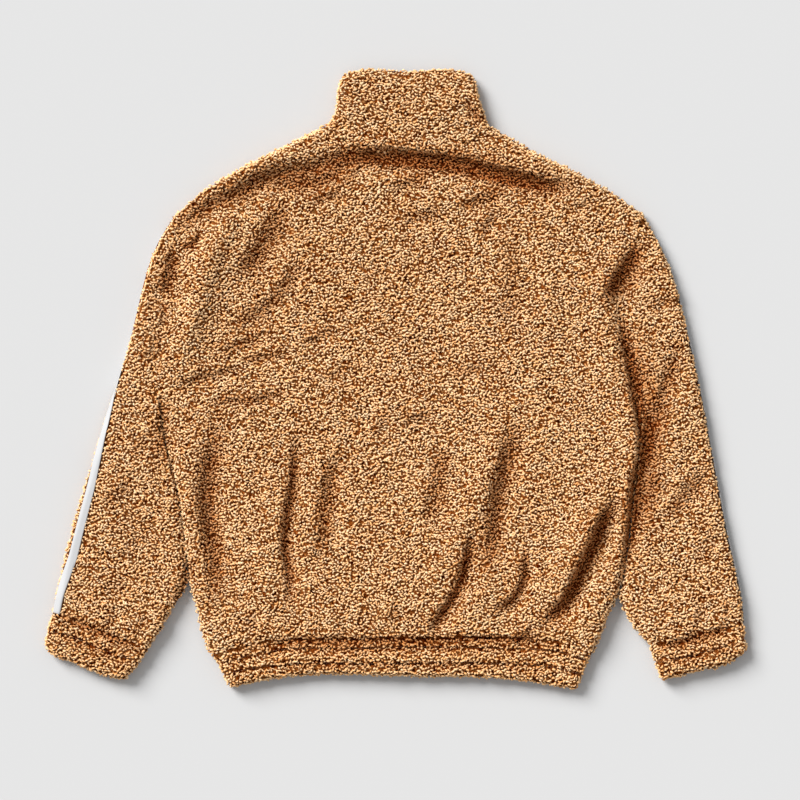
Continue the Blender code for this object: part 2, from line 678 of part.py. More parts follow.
def stripe_walls(walls, places, steps):
    """A woven stripe: points of the sleeve's outer face round its outer edge, moved out."""
    levels, rounds = zip(*sorted(places))
    above = len(ARMHOLE_SHARES) + ROLLED
    below = len(ARMHOLE_SHARES_BELOW) + ROLLED
    place = np.linspace(1, len(walls.outer) - 1, (len(walls.outer) - 2) * steps + 1)
    place[-1] -= STRIPE_END_GAP
    faces = []
    for whole, share in zip(place.astype(int), place % 1):
        row = walls.outer[whole]
        if share > 0:
            row = row + share * (walls.outer[whole + 1] - row)
        loop = np.vstack([row[-below:], row[:above]])
        inside = loop[:, :2] - row[0, :2]
        way = row[ROLLED, :2] - row[0, :2]
        way /= np.hypot(*way)
        section = np.stack([inside @ way, loop[:, 2]], axis=-1)
        measure = lengths(section) - lengths(section)[below]
        middle = np.interp(row[0, 1], levels, rounds)
        low = max(middle - STRIPE_WIDTH / 2, STRIPE_LOWEST)
        round_at = np.linspace(low, middle + STRIPE_WIDTH / 2, STRIPE_COLUMNS)
        base = np.stack([np.interp(round_at, measure, section[:, k]) for k in (0, 1)], axis=-1)
        plan = np.stack([np.interp(round_at, measure, loop[:, k]) for k in (0, 1)], axis=-1)
        ahead = np.gradient(base, axis=0)
        ahead /= np.hypot(*ahead.T)[:, None]
        out = np.stack([-ahead[:, 1], ahead[:, 0]], axis=-1)
        face = []
        for distance in (STRIPE_CLEAR, STRIPE_CLEAR + STRIPE_THICK):
            shifted = plan + distance * out[:, :1] * way
            face.append(np.column_stack([shifted, base[:, 1] + distance * out[:, 1]]))
        faces.append(face)
    inner, outer = [np.array(face) for face in zip(*faces)]
    return Walls(outer, inner)


# ------------------------------------------------------------------ zip


def collar_front_y():
    edge = collar_front_edge()
    return float(np.interp(ZIP_X, edge[:, 0], edge[:, 1]))


def hinge_y():
    return collar_front_y() - EDGE_TO_SLIDER


def chain_points():
    """(points, faces) of the chain on its two tapes, one outline run along the zip."""
    tape, chain = TAPE_WIDTH / 2, CHAIN_WIDTH / 2
    half_tape, half_chain = TAPE_THICK / 2, CHAIN_THICK / 2
    quarter = [(tape, half_tape), (chain, half_tape), (chain, half_chain)]
    outline = quarter + [(-x, z) for x, z in reversed(quarter)]
    outline += [(x, -z) for x, z in reversed(outline)]
    hem = smooth(HEM_EDGE)
    start = np.interp(ZIP_X, hem[:, 0], hem[:, 1]) + HEM_TO_CHAIN
    end = hinge_y() + SLIDER_LENGTH / 2 - POST_LENGTH - SLIDER_CLEAR
    points = [(ZIP_X + x, y, CHAIN_MIDDLE + z) for y in (start, end) for x, z in outline]
    count = len(outline)
    sides = [(i, (i + 1) % count, count + (i + 1) % count, count + i) for i in range(count)]
    return points, sides + [tuple(range(count - 1, -1, -1)), tuple(range(count, 2 * count))]


def slider_boxes():
    """(x, y, z) extents of the slider's two plates, its post and its bridge, about its middle."""
    half = CHAIN_THICK / 2 + SLIDER_CLEAR
    length, width = SLIDER_LENGTH / 2, SLIDER_WIDTH / 2
    bite = SLIDER_PLATE / 2
    under = CHAIN_MIDDLE - half - SLIDER_PLATE
    over = CHAIN_MIDDLE + half
    bridge, bar = BRIDGE_LENGTH / 2, BRIDGE_BAR
    wide, post = BRIDGE_WIDTH / 2, POST_WIDTH / 2
    return [
        ((-width, width), (-length, length), (under, under + SLIDER_PLATE)),
        ((-width, width), (-length, length), (over, over + SLIDER_PLATE)),
        ((-post, post), (length - POST_LENGTH, length - bite), (under + bite, over + bite)),
        ((-wide, wide), (-bridge, bridge), (BRIDGE_BOTTOM, BRIDGE_BOTTOM + bar)),
        ((-wide, wide), (-bridge, bar - bridge), (BRIDGE_BOTTOM, under + bite)),
        ((-wide, wide), (bridge - bar, bridge), (BRIDGE_BOTTOM, under + bite)),
    ]


def pull_outline():
    """The pull tab in plan, about its hinge: straight sides and a round end."""
    half = PULL_WIDTH / 2
    round_start = -PULL_LENGTH + half
    angles = np.radians(np.linspace(180, 360, 9))
    end = [(half * math.cos(a), round_start + half * math.sin(a)) for a in angles]
    return [(half, PULL_THICK / 2), (-half, PULL_THICK / 2)] + end


# ------------------------------------------------------------------ objects


def clear_scene():
    for item in list(bpy.data.objects):
        bpy.data.objects.remove(item, do_unlink=True)


def material(finish):
    made = bpy.data.materials.get(finish.name)
    if made:
        return made
    made = bpy.data.materials.new(finish.name)
    made.use_nodes = True
    shader = made.node_tree.nodes["Principled BSDF"]
    shader.inputs["Base Color"].default_value = (*finish.colour, 1.0)
    shader.inputs["Roughness"].default_value = finish.roughness
    shader.inputs["Metallic"].default_value = finish.metallic
    return made


def mesh_object(name, points, faces, finish, parent, location=(0, 0, 0)):
    mesh = bpy.data.meshes.new(name)
    mesh.from_pydata([tuple(np.array(p) * MM) for p in points], [], faces)
    mesh.materials.append(material(finish))
    made = bpy.data.objects.new(name, mesh)
    made.location = np.array(location) * MM
    made.parent = parent
    bpy.context.scene.collection.objects.link(made)
    return made


def facing_out(made):
    """Turns every face of a closed mesh outwards."""
    mesh = made.data
    volume = 0.0
    for polygon in mesh.polygons:
        corners = [mesh.vertices[i].co for i in polygon.vertices]
        for a, b in zip(corners[1:], corners[2:]):
            volume += corners[0].dot(a.cross(b))
    if volume < 0:
        mesh.flip_normals()
    return made


def wall_object(name, walls, finish, parent, closed=False):
    """A closed solid between the outer and the inner grid, round in columns if it is a tube."""
    rows, columns = walls.outer.shape[:2]
    points = np.vstack([walls.outer.reshape(-1, 3), walls.inner.reshape(-1, 3)])
    under = rows * columns
    faces = []
    for j in range(columns if closed else columns - 1):
        k = (j + 1) % columns
        for i in range(rows - 1):
            quad = (i * columns + j, i * columns + k, (i + 1) * columns + k, (i + 1) * columns + j)
            faces.append(quad)
            faces.append(tuple(under + corner for corner in reversed(quad)))
        top = (rows - 1) * columns
        faces.append((under + j, under + k, k, j))
        faces.append((top + j, top + k, under + top + k, under + top + j))
    if not closed:
        for i in range(rows - 1):
            a, b = i * columns, (i + 1) * columns
            faces.append((a, b, under + b, under + a))
            a, b = a + columns - 1, b + columns - 1
            faces.append((b, a, under + a, under + b))
    made = facing_out(mesh_object(name, points, faces, finish, parent))
    made.data.shade_smooth()
    made.data.set_sharp_from_angle(angle=math.radians(50))
    return made


def box_points(x, y, z):
    points = [(a, b, c) for c in z for b in y for a in x]
    faces = [(0, 2, 3, 1), (4, 5, 7, 6), (0, 1, 5, 4), (2, 6, 7, 3), (0, 4, 6, 2), (1, 3, 7, 5)]
    return points, faces


def cut_or_join(made, other, operation):
    """Joins another solid to this one, or cuts it out, and hides that other one."""
    step = made.modifiers.new(operation.lower(), "BOOLEAN")
    step.operation = operation
    step.solver = "EXACT"
    step.object = other
    other.hide_render = True
    other.display_type = "WIRE"


def zip_slider(parent):
    place = (ZIP_X, hinge_y(), 0)
    first, *rest = slider_boxes()
    slider = mesh_object("zip_slider", *box_points(*first), METAL, parent, place)
    for i, extents in enumerate(rest):
        piece = mesh_object(f"slider_piece_{i}", *box_points(*extents), METAL, parent, place)
        cut_or_join(slider, piece, "UNION")
    return slider


def zip_pull(parent):
    """The pull tab. Its origin is on the hinge, which is its cross bar inside the bridge."""
    place = (ZIP_X, hinge_y(), PULL_HINGE_HEIGHT)
    outline = pull_outline()
    count, half = len(outline), PULL_THICK / 2
    points = [(x, y, z) for z in (-half, half) for x, y in outline]
    sides = [(i, (i + 1) % count, count + (i + 1) % count, count + i) for i in range(count)]
    faces = sides + [tuple(range(count - 1, -1, -1)), tuple(range(count, 2 * count))]
    pull = facing_out(mesh_object("zip_pull", points, faces, METAL, parent, place))
    eye = ((-PULL_EYE_WIDTH / 2, PULL_EYE_WIDTH / 2), (-half - PULL_EYE_LENGTH, -half), (-1, 1))
    cutter = mesh_object("pull_eye", *box_points(*eye), METAL, parent, place)
    cut_or_join(pull, cutter, "DIFFERENCE")
    return pull


def cloth_pieces():
    """(name, walls, finish, whether it is a closed tube) of each cloth piece."""
    pieces = [
        ("back", back_walls(), FLEECE, False),
        ("front_left", front_walls(-1), FLEECE, False),
        ("front_right", front_walls(1), FLEECE, False),
    ]
    for which, sleeve in SLEEVES.items():
        tube = sleeve_walls(sleeve)
        pieces.append((f"sleeve_{which}", tube, FLEECE, True))
        pieces.append((f"cuff_{which}", cuff_walls(sleeve), BAND, True))
        stripe = stripe_walls(tube, STRIPE_PLACES[which], STRIPE_STEPS[which])
        pieces.append((f"stripe_{which}", stripe, WHITE, False))
    pieces.append(("hem_band", hem_band_walls(), BAND, False))
    pieces.append(("collar", collar_walls(), FLEECE, False))
    return pieces


def main():
    clear_scene()
    jacket = bpy.data.objects.new("jacket", None)
    bpy.context.scene.collection.objects.link(jacket)
    pieces = cloth_pieces()
    for name, walls, finish, closed in pieces:
        wall_object(name, walls, finish, jacket, closed)
    points = np.vstack([walls.outer.reshape(-1, 3) for _, walls, _, _ in pieces])
    middle = (points.min(0) + points.max(0)) / 2
    facing_out(mesh_object("zip_chain", *chain_points(), TAPE, jacket))
    zip_slider(jacket)
    zip_pull(jacket)
    # The jacket's origin is under the middle of the ground that it covers.
    jacket.location = (-middle[0] * MM, -middle[1] * MM, 0)


main()
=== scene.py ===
"""The looks of a track jacket laid face down: looped pile, gathered bands, woven stripes and a zip."""

import json
import math
from collections import namedtuple

import bmesh
import bpy
import numpy as np
from bpy.props import FloatProperty, FloatVectorProperty, IntProperty, PointerProperty
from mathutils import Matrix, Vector
from mathutils.bvhtree import BVHTree
from mathutils.kdtree import KDTree

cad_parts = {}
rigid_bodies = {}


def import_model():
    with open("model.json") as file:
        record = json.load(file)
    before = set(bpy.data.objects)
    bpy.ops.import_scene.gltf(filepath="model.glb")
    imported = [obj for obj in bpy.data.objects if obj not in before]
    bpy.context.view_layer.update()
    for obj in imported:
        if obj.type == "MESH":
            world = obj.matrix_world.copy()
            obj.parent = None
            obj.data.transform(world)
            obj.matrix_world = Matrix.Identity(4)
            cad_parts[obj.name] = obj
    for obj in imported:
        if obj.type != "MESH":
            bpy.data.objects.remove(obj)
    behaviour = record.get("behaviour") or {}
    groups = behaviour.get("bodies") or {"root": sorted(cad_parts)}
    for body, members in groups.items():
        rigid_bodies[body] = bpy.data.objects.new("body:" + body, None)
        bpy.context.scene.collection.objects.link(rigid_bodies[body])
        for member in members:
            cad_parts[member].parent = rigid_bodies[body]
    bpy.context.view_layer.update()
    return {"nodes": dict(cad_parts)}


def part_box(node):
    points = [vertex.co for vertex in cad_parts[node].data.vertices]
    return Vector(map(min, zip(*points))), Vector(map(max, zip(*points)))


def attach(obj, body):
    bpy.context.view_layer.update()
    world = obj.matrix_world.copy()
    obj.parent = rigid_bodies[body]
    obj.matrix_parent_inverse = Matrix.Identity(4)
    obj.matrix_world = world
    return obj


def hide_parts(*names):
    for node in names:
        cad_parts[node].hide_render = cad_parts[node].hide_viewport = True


bl_info = {
    "name": "Track jacket laid flat",
    "version": (1, 0, 0),
    "blender": (4, 5, 0),
    "location": "3D View > Sidebar > Jacket",
    "description": "Dresses the jacket's solids in looped fleece, gathered bands, stripes and a zip",
    "category": "Object",
}

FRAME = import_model()

MM = 0.001
UP = Vector((0, 0, 1))
BODY = "jacket"

# Every cloth piece: its node, how often its form is halved, the sheet's flat width and length
# and its flat area, what it rests on, and its material slot.
Cloth = namedtuple("Cloth", "node levels flat area rests_on slot")
PANELS = (
    Cloth("back", 2, (0.60, 0.66), 0.32, ("front_left_cloth", "front_right_cloth"), "looped_fleece"),
    Cloth("front_left", 3, (0.31, 0.66), 0.16, (), "looped_fleece"),
    Cloth("front_right", 3, (0.30, 0.66), 0.155, (), "looped_fleece"),
    Cloth("sleeve_left", 2, (0.28, 0.54), 0.09, (), "looped_fleece"),
    Cloth("sleeve_right", 2, (0.30, 0.54), 0.10, (), "looped_fleece"),
    Cloth("collar", 2, (0.36, 0.10), 0.03, (), "looped_fleece"),
)
BANDS = (
    Cloth("hem_band", 2, (0.92, 0.05), 0.045, (), "band_fleece"),
    Cloth("cuff_left", 2, (0.26, 0.045), 0.0115, (), "band_fleece"),
    Cloth("cuff_right", 2, (0.25, 0.045), 0.0105, (), "band_fleece"),
)

WELD = 0.001 * MM
QUAD_TURN, QUAD_SHAPE = 0.9, 1.5  # how far two triangles of one quad may differ, in radians
RIM_ANGLE = math.radians(50)
FREE_CREASE = 0.33  # how sharp a free edge stays, of 1
SEAM_CREASE = 0.9
SEAM_START = 0.01 * MM
SEAM_REACH = 0.5 * MM
PROBE_START = 0.4 * MM
PROBE_REACH = 0.08
PROBE_LEVEL = 0.3  # skin that looks up or down more than this is also probed straight that way
FLOOR_FACING = -0.8
PILE_FLOOR = 0.15 * MM

# Heights in the laid jacket
UPPER_INSIDE = 12.4 * MM  # inner face of the upper layer
LOWER_INSIDE = 5.0 * MM  # just over the inner face of the lower layer
LEAST_OUTSIDE = 9.6 * MM  # the upper layer can't be pushed down further


# ---------------------------------------------------------------- forms

def vectors(collection, field):
    """A mesh collection's three-part field as rows of an array."""
    flat = np.empty(len(collection) * 3)
    collection.foreach_get(field, flat)
    return flat.reshape(-1, 3)


def vertex_normals(mesh):
    """A mesh's vertex normals as rows of an array."""
    return vectors(mesh.vertices, "normal")


def smoothed_form(cloth):
    """A node's solid with its triangles welded into quads and its facets smoothed, as a mesh."""
    solids = solids_tree()
    form = bmesh.new()
    form.from_mesh(FRAME["nodes"][cloth.node].data)
    bmesh.ops.remove_doubles(form, verts=form.verts, dist=WELD)
    bmesh.ops.join_triangles(
        form, faces=form.faces, angle_face_threshold=QUAD_TURN, angle_shape_threshold=QUAD_SHAPE,
    )
    crease = form.edges.layers.float.new("crease_edge")
    for edge in form.edges:
        if edge.is_manifold and edge.calc_face_angle() > RIM_ANGLE:
            edge[crease] = SEAM_CREASE if at_seam(edge, solids) else FREE_CREASE
    rough = bpy.data.meshes.new(cloth.node + "_form")
    form.to_mesh(rough)
    form.free()
    work = bpy.data.objects.new(rough.name, rough)
    bpy.context.scene.collection.objects.link(work)
    smooth = work.modifiers.new("Smooth", "SUBSURF")
    smooth.levels = cloth.levels
    graph = bpy.context.evaluated_depsgraph_get()
    mesh = bpy.data.meshes.new_from_object(work.evaluated_get(graph))
    bpy.data.objects.remove(work)
    bpy.data.meshes.remove(rough)
    mesh.attributes.remove(mesh.attributes["crease_edge"])
    return mesh


def skins_tree(meshes):
    """One search tree over several meshes."""
    points, faces, start = [], [], 0
    for mesh in meshes:
        points.extend(v.co for v in mesh.vertices)
        faces.extend([start + i for i in p.vertices] for p in mesh.polygons)
        start = len(points)
    return BVHTree.FromPolygons(points, faces)


def at_seam(edge, solids):
    """Whether one of an edge's faces looks at another piece across a seam."""
    for face in edge.link_faces:
        start = face.calc_center_median() + face.normal * SEAM_START
        if solids.ray_cast(start, face.normal, SEAM_REACH)[0] is not None:
            return True
    return False


FORMS = {}


def solids_tree():
    """One search tree over the solids of all cloth pieces, made once."""
    if "solids" not in FORMS:
        FORMS["solids"] = skins_tree([FRAME["nodes"][cloth.node].data for cloth in PANELS + BANDS])
    return FORMS["solids"]


def forms():
    """Every cloth form by its node's name, and the search tree over them all; made once."""
    if "meshes" not in FORMS:
        meshes = {cloth.node: smoothed_form(cloth) for cloth in PANELS + BANDS}
        FORMS.update(meshes=meshes, tree=skins_tree(meshes.values()))
    return FORMS


def open_to_air(mesh, tree):
    """1 for each vertex that sees out of the jacket, along its normal or straight up or down."""
    found = np.zeros(len(mesh.vertices))
    for index, (point, normal) in enumerate(zip(vectors(mesh.vertices, "co"), vertex_normals(mesh))):
        outward = Vector(normal)
        start = Vector(point) + outward * PROBE_START
        free = tree.ray_cast(start, outward, PROBE_REACH)[0] is None
        if not free and abs(normal[2]) > PROBE_LEVEL:
            free = tree.ray_cast(start, UP * math.copysign(1, normal[2]), PROBE_REACH)[0] is None
        found[index] = free
    return found


# ---------------------------------------------------------------- creases

# Folds finer than the solids' own. Cloth rolls over on the left of each path and drops off on
# its right: drop is how far it rises and falls there, sink the depth of a groove along the path
# itself, both in millimetres, as are the half width and the path's points in plan.
Crease = namedtuple("Crease", "name drop sink half_width path")
CREASES = (
    Crease("neck valley, left", 3.9, 0.8, 8.0, (
        (-274, 164), (-264, 183), (-246, 201), (-219, 215), (-189, 229), (-160, 248),
        (-117, 253), (-83, 261), (-58, 278), (-29, 278)
    )),
    Crease("neck valley, under it", 2.6, 0.6, 5.5, (
        (-153, 230), (-128, 235), (-98, 237), (-71, 249), (-52, 267)
    )),
    Crease("neck hollow, left", 0.0, 0.7, 7.0, ((-128, 228), (-92, 233), (-62, 252))),
    Crease("neck valley, right", 7.6, 4.6, 6.8, (
        (-96, 260), (-68, 269), (-29, 272), (4, 270), (52, 265), (81, 261), (109, 254),
        (133, 247), (163, 240), (196, 235), (232, 230)
    )),
    Crease("neck hollow, right", 0.0, 1.4, 5.0, (
        (4, 270), (52, 266), (98, 258), (136, 248), (178, 239)
    )),
    Crease("shoulder hook", 3.0, 4.6, 3.2, ((-258, 164), (-248, 161), (-239, 168), (-236, 180))),
    Crease("blade valley", 3.2, 0.6, 8.5, (
        (-191, 115), (-182, 140), (-166, 159), (-153, 182), (-143, 203), (-131, 219)
    )),
    Crease("blade ridge, left", 0.0, -4.2, 11.0, (
        (-178, 219), (-195, 198), (-212, 167), (-226, 131), (-238, 95), (-250, 54), (-264, 11)
    )),
    Crease("blade valley, inner", 2.3, 0.5, 6.0, (
        (-206, 60), (-185, 73), (-162, 87), (-143, 104), (-129, 129), (-113, 155)
    )),
    Crease("armhole, left", 3.6, 1.2, 6.5, ((-282, 96), (-278, 116), (-273, 139), (-268, 161))),
    Crease("left of the blade", 2.4, 0.2, 5.0, ((-284, 60), (-280, 77), (-276, 96))),
    Crease("chest wrinkle 1", 2.6, 0.4, 3.8, (
        (-269, -5), (-252, 1), (-231, 8), (-207, 12), (-183, 19)
    )),
    Crease("chest wrinkle 2", 2.2, 0.4, 3.6, ((-219, 33), (-197, 41), (-176, 50), (-152, 62))),
    Crease("chest wrinkle 3", 2.2, 0.4, 3.6, ((-190, 21), (-168, 29), (-147, 31), (-128, 39))),
    Crease("chest wrinkle 4", 2.0, 0.2, 4.0, ((-116, 45), (-94, 54), (-75, 69))),
    Crease("chest wrinkle 5", 1.2, 0.0, 4.0, ((-89, 0), (-70, 14), (-44, 21))),
    Crease("level crease, left", 2.4, 1.0, 3.6, (
        (-232, -25), (-204, -22), (-176, -24), (-154, -17), (-125, -13)
    )),
    Crease("neck ripple 1", 2.6, 0.4, 4.5, ((-15, 234), (6, 235), (27, 243), (48, 242))),
    Crease("neck ripple 2", 2.8, 0.4, 5.0, ((67, 205), (88, 215), (110, 223), (134, 228))),
    Crease("neck ripple 3", 2.0, 0.0, 5.5, ((0, 191), (28, 200), (60, 205))),
    Crease("neck ripple 4", 2.2, 0.2, 4.5, ((94, 171), (108, 188), (122, 204))),
    Crease("neck ripple 5", 2.8, 0.4, 4.0, ((-106, 213), (-84, 221), (-60, 230))),
    Crease("neck ripple 6", 2.0, 0.2, 4.0, ((-65, 229), (-56, 246), (-40, 260))),
    Crease("shoulder ripple, right", 1.6, 0.0, 5.0, ((195, 207), (217, 212), (238, 217))),
    Crease("chest drag, right", 1.4, 0.0, 10.0, ((124, 48), (132, 96), (135, 156), (142, 197))),
    Crease("blade ridge, right", 0.0, -2.2, 12.0, ((168, 201), (175, 156), (182, 96), (184, 36))),
    Crease("armhole, right, upper", 4.4, 2.4, 6.5, (
        (244, 89), (252, 105), (260, 121), (272, 138), (282, 153), (290, 173)
    )),
    Crease("armhole hollow, right, upper", 0.0, 2.0, 8.0, (
        (261, 96), (270, 113), (283, 129), (292, 146)
    )),
    Crease("armhole, right", 5.2, 3.6, 5.0, (
        (267, -264), (267, -243), (272, -211), (277, -178), (280, -144), (284, -115), (292, -91),
        (292, -63), (286, -34), (282, -7), (276, 21), (270, 50), (265, 77), (258, 99)
    )),
    Crease("armhole hollow, right", 0.0, 2.6, 9.0, (
        (283, -216), (292, -168), (298, -130), (304, -91), (304, -58), (297, -29), (292, 5),
        (285, 36), (279, 65), (271, 91)
    )),
    Crease("armpit fold", 2.2, 0.5, 7.0, (
        (283, -126), (290, -107), (300, -78), (307, -47), (316, -13), (327, 18), (334, 50)
    )),
    Crease("upper crease, right", 1.4, 0.3, 4.0, ((292, 89), (312, 95), (336, 99), (350, 98))),
    Crease("elbow crease, right", 2.2, 0.4, 7.0, ((319, -171), (333, -147), (352, -125), (374, -103))),
    Crease("under the armpit, right", 1.8, 0.3, 7.5, (
        (282, -177), (292, -150), (303, -125), (319, -105)
    )),
    Crease("sleeve ripple, right", 1.0, 0.0, 7.0, ((352, -216), (369, -197), (384, -173))),
    Crease("sleeve ripple, right 2", 0.6, 0.0, 6.0, ((312, -25), (331, 31), (336, 59))),
    Crease("gather 1", 3.6, 1.1, 8.0, (
        (-219, -291), (-220, -255), (-221, -219), (-228, -183), (-233, -147), (-230, -113),
        (-224, -82), (-218, -53), (-216, -29)
    )),
    Crease("gather 2", 4.0, 1.8, 4.2, (
        (-136, -291), (-130, -262), (-130, -233), (-136, -202), (-136, -178), (-131, -149),
        (-126, -120), (-125, -94), (-123, -70), (-120, -48)
    )),
    Crease("gather 3", 2.8, 0.6, 7.0, (
        (-99, -223), (-92, -192), (-89, -156), (-86, -123), (-78, -99), (-63, -79)
    )),
    Crease("gather 4", 2.4, 0.4, 7.0, ((33, -180), (38, -149), (45, -120), (51, -94), (52, -70))),
    Crease("gather 5", 3.8, 0.7, 7.5, (
        (98, -245), (106, -219), (111, -190), (114, -159), (120, -127), (127, -94), (135, -63),
        (146, -34)
    )),
    Crease("gather 6", 4.6, 2.7, 4.6, (
        (36, -312), (46, -288), (62, -264), (74, -245), (80, -221), (84, -197), (87, -175)
    )),
    Crease("gather 7", 3.8, 1.8, 4.2, (
        (111, -279), (124, -271), (140, -259), (150, -243), (152, -219), (150, -195)
    )),
    Crease("gather 8", 5.8, 3.8, 5.8, (
        (162, -297), (181, -283), (198, -267), (210, -246), (222, -217), (236, -189),
        (244, -167), (256, -149), (266, -129)
    )),
    Crease("hem ripple 1", 2.4, 0.6, 4.0, ((135, -313), (150, -305), (165, -295))),
    Crease("hem ripple 2", 1.0, 0.2, 4.0, ((-72, -312), (-68, -295), (-70, -279))),
    Crease("hem ripple 3", 1.6, 0.4, 4.0, ((-12, -295), (-5, -279), (0, -264))),
    Crease("hem ripple 4", 1.0, 0.2, 4.0, ((-180, -305), (-176, -286), (-166, -269))),
    Crease("middle ripple 1", 1.8, 0.2, 4.0, ((0, -58), (12, -46), (26, -41), (45, -36))),
    Crease("middle ripple 2", 1.4, 0.2, 4.5, ((-30, -72), (-21, -47), (-4, -33))),
    Crease("middle ripple 3", 1.8, 0.2, 4.5, ((61, 6), (82, 13), (106, 23))),
    Crease("sleeve side, left", 2.0, 0.6, 6.0, ((-288, -113), (-286, -79), (-282, -46), (-284, -10))),
    Crease("sleeve side, left lower", 1.4, 1.6, 5.0, (
        (-272, -271), (-260, -252), (-252, -231), (-250, -207)
    )),
    Crease("sleeve ripple, left 1", 1.8, 0.2, 5.5, ((-354, -145), (-335, -133), (-314, -117))),
    Crease("sleeve ripple, left 2", 1.0, 0.0, 5.0, ((-341, -219), (-322, -202), (-303, -178))),
    Crease("sleeve ripple, left 3", 1.4, 0.0, 5.0, ((-322, -91), (-305, -73), (-290, -48))),
    Crease("sleeve ripple, left 4", 1.8, 0.0, 5.0, ((-303, 20), (-290, 41), (-282, 62))),
    Crease("sleeve ripple, left 5", 1.6, 0.0, 5.0, ((-354, -244), (-335, -246), (-321, -240))),
    Crease("cuff gather, left 1", 1.3, 0.4, 3.6, ((-351, -298), (-344, -281), (-334, -267))),
    Crease("cuff gather, left 2", 1.2, 0.4, 3.6, ((-317, -312), (-310, -293), (-298, -274))),
    Crease("cuff gather, right 1", 1.2, 0.4, 3.6, ((352, -307), (357, -288), (362, -267))),
    Crease("cuff gather, right 2", 1.1, 0.4, 3.6, ((391, -298), (391, -279), (396, -259))),
    Crease("collar dent", 1.6, 3.4, 3.4, ((84, 335), (91, 325), (99, 315), (109, 309))),
    Crease("collar ripple", 0.0, -1.6, 6.0, ((-56, 321), (-36, 331), (-10, 333))),
    Crease("collar ripple 2", 0.0, -2.0, 7.0, ((9, 312), (36, 317), (64, 326), (84, 343), (91, 355))),
)
# The seams of the bands and the rows of stitches that hold their elastic.
BAND_LINES = (
    Crease("hem seam", 2.2, 2.4, 3.8, (
        (-219, -331), (-190, -322), (-161, -313), (-116, -310), (-68, -311), (-20, -309),
        (40, -310), (88, -307), (148, -309), (196, -313), (235, -329)
    )),
    Crease("hem, upper stitch row", 0.8, 1.4, 2.8, (
        (-213, -340), (-182, -331), (-152, -324), (-104, -321), (-44, -322), (28, -319),
        (100, -321), (160, -322), (199, -325), (230, -337)
    )),
    Crease("hem, lower stitch row", 0.8, 1.4, 2.8, (
        (-208, -353), (-176, -346), (-146, -341), (-104, -340), (-44, -340), (28, -339),
        (100, -339), (160, -340), (196, -345), (225, -354)
    )),
    Crease("cuff seam, left", 2.2, 2.6, 3.8, (
        (-413, -280), (-386, -285), (-358, -298), (-327, -311), (-297, -323)
    )),
    Crease("cuff stitch row, left", 1.0, 1.8, 3.0, (
        (-419, -300), (-394, -305), (-365, -317), (-336, -329), (-305, -339)
    )),
    Crease("cuff seam, right", 2.2, 2.6, 3.8, ((304, -318), (340, -312), (368, -303), (415, -292))),
    Crease("cuff stitch row, right", 1.0, 1.8, 3.0, (
        (309, -339), (345, -333), (374, -324), (418, -312)
    )),
)
# Shallow grooves where the lower layer lies on the floor, up into the cloth.
UNDER_CREASES = (
    Crease("left front, chest drag", 0, 1.6, 7, ((-250, 60), (-190, 96), (-120, 108), (-60, 104))),
    Crease("left front, waist gather", 0, 1.8, 6, ((-160, -290), (-166, -220), (-150, -140))),
    Crease("left front, side gather", 0, 1.5, 6, ((-212, -270), (-222, -190), (-214, -110))),
    Crease("left front, zip ripple", 0, 1.2, 8, ((-14, -120), (-44, -60), (-60, 20))),
    Crease("right front, chest drag", 0, 1.6, 7, ((70, 150), (140, 130), (214, 84))),
    Crease("right front, waist gather", 0, 1.8, 6, ((120, -286), (132, -210), (118, -140))),
    Crease("right front, side gather", 0, 1.5, 6, ((216, -280), (236, -200), (240, -130))),
    Crease("right front, zip ripple", 0, 1.2, 8, ((36, -30), (60, 40), (52, 110))),
    Crease("left sleeve, elbow", 0, 1.4, 7, ((-372, -120), (-330, -132), (-286, -160))),
    Crease("right sleeve, elbow", 0, 1.4, 7, ((384, -120), (346, -140), (304, -136))),
)

# How every crease is shaped
RIDGE_BREADTH = 1.3  # half widths of a fold on its rolled side
HOLLOW_BREADTH = 1.7  # and on the side where it has dropped off
CREASE_REACH = 4.2  # half widths
FADE_RATE = 3.5  # how quickly a crease comes and goes at its ends
SHADE_MIDDLE = 0.35  # where across a fold its shade is deepest
SHADE_SPREADS = (1.2, 0.8)  # how far its shade reaches before and after that
DEEPEST = 6.0  # drop and sink, in millimetres, of a crease that is fully in the shade


def ease(share):
    """A soft step from 0 to 1."""
    share = np.clip(share, 0, 1)
    return share * share * (3 - 2 * share)


def softened(path):
    """A path in metres with its corners cut twice."""
    path = np.array(path, float) * MM
    for _ in range(2):
        first, second = 0.75 * path[:-1] + 0.25 * path[1:], 0.25 * path[:-1] + 0.75 * path[1:]
        cut = np.stack([first, second], axis=1).reshape(-1, 2)
        path = np.vstack([path[:1], cut, path[-1:]])
    return path


def line_measure(points, path):
    """For plan points: the distance to a path, less than 0 on its left, and the share of it behind them."""
    best = np.full(len(points), np.inf)
    side, share = np.zeros(len(points)), np.zeros(len(points))
    steps = np.linalg.norm(np.diff(path, axis=0), axis=1)
    behind = 0.0
    for start, end, step in zip(path, path[1:], steps):
        ahead = (end - start) / step
        offset = points - start
        along = np.clip(offset @ ahead, 0, step)
        away = offset - along[:, None] * ahead
        distance = np.hypot(away[:, 0], away[:, 1])
        nearer = distance < best
        best = np.where(nearer, distance, best)
        right = away[:, 0] * ahead[1] - away[:, 1] * ahead[0]
        side = np.where(nearer, np.copysign(distance, right), side)
        share = np.where(nearer, (behind + along) / steps.sum(), share)
        behind += step
    return side, share


def fold_shade(points):
    """How deep in the shade of the upper layer's folds and band lines each plan point is, 0 to 1."""
    return np.clip(creased(CREASES, points)[2] + creased(BAND_LINES, points)[2], 0, 1)


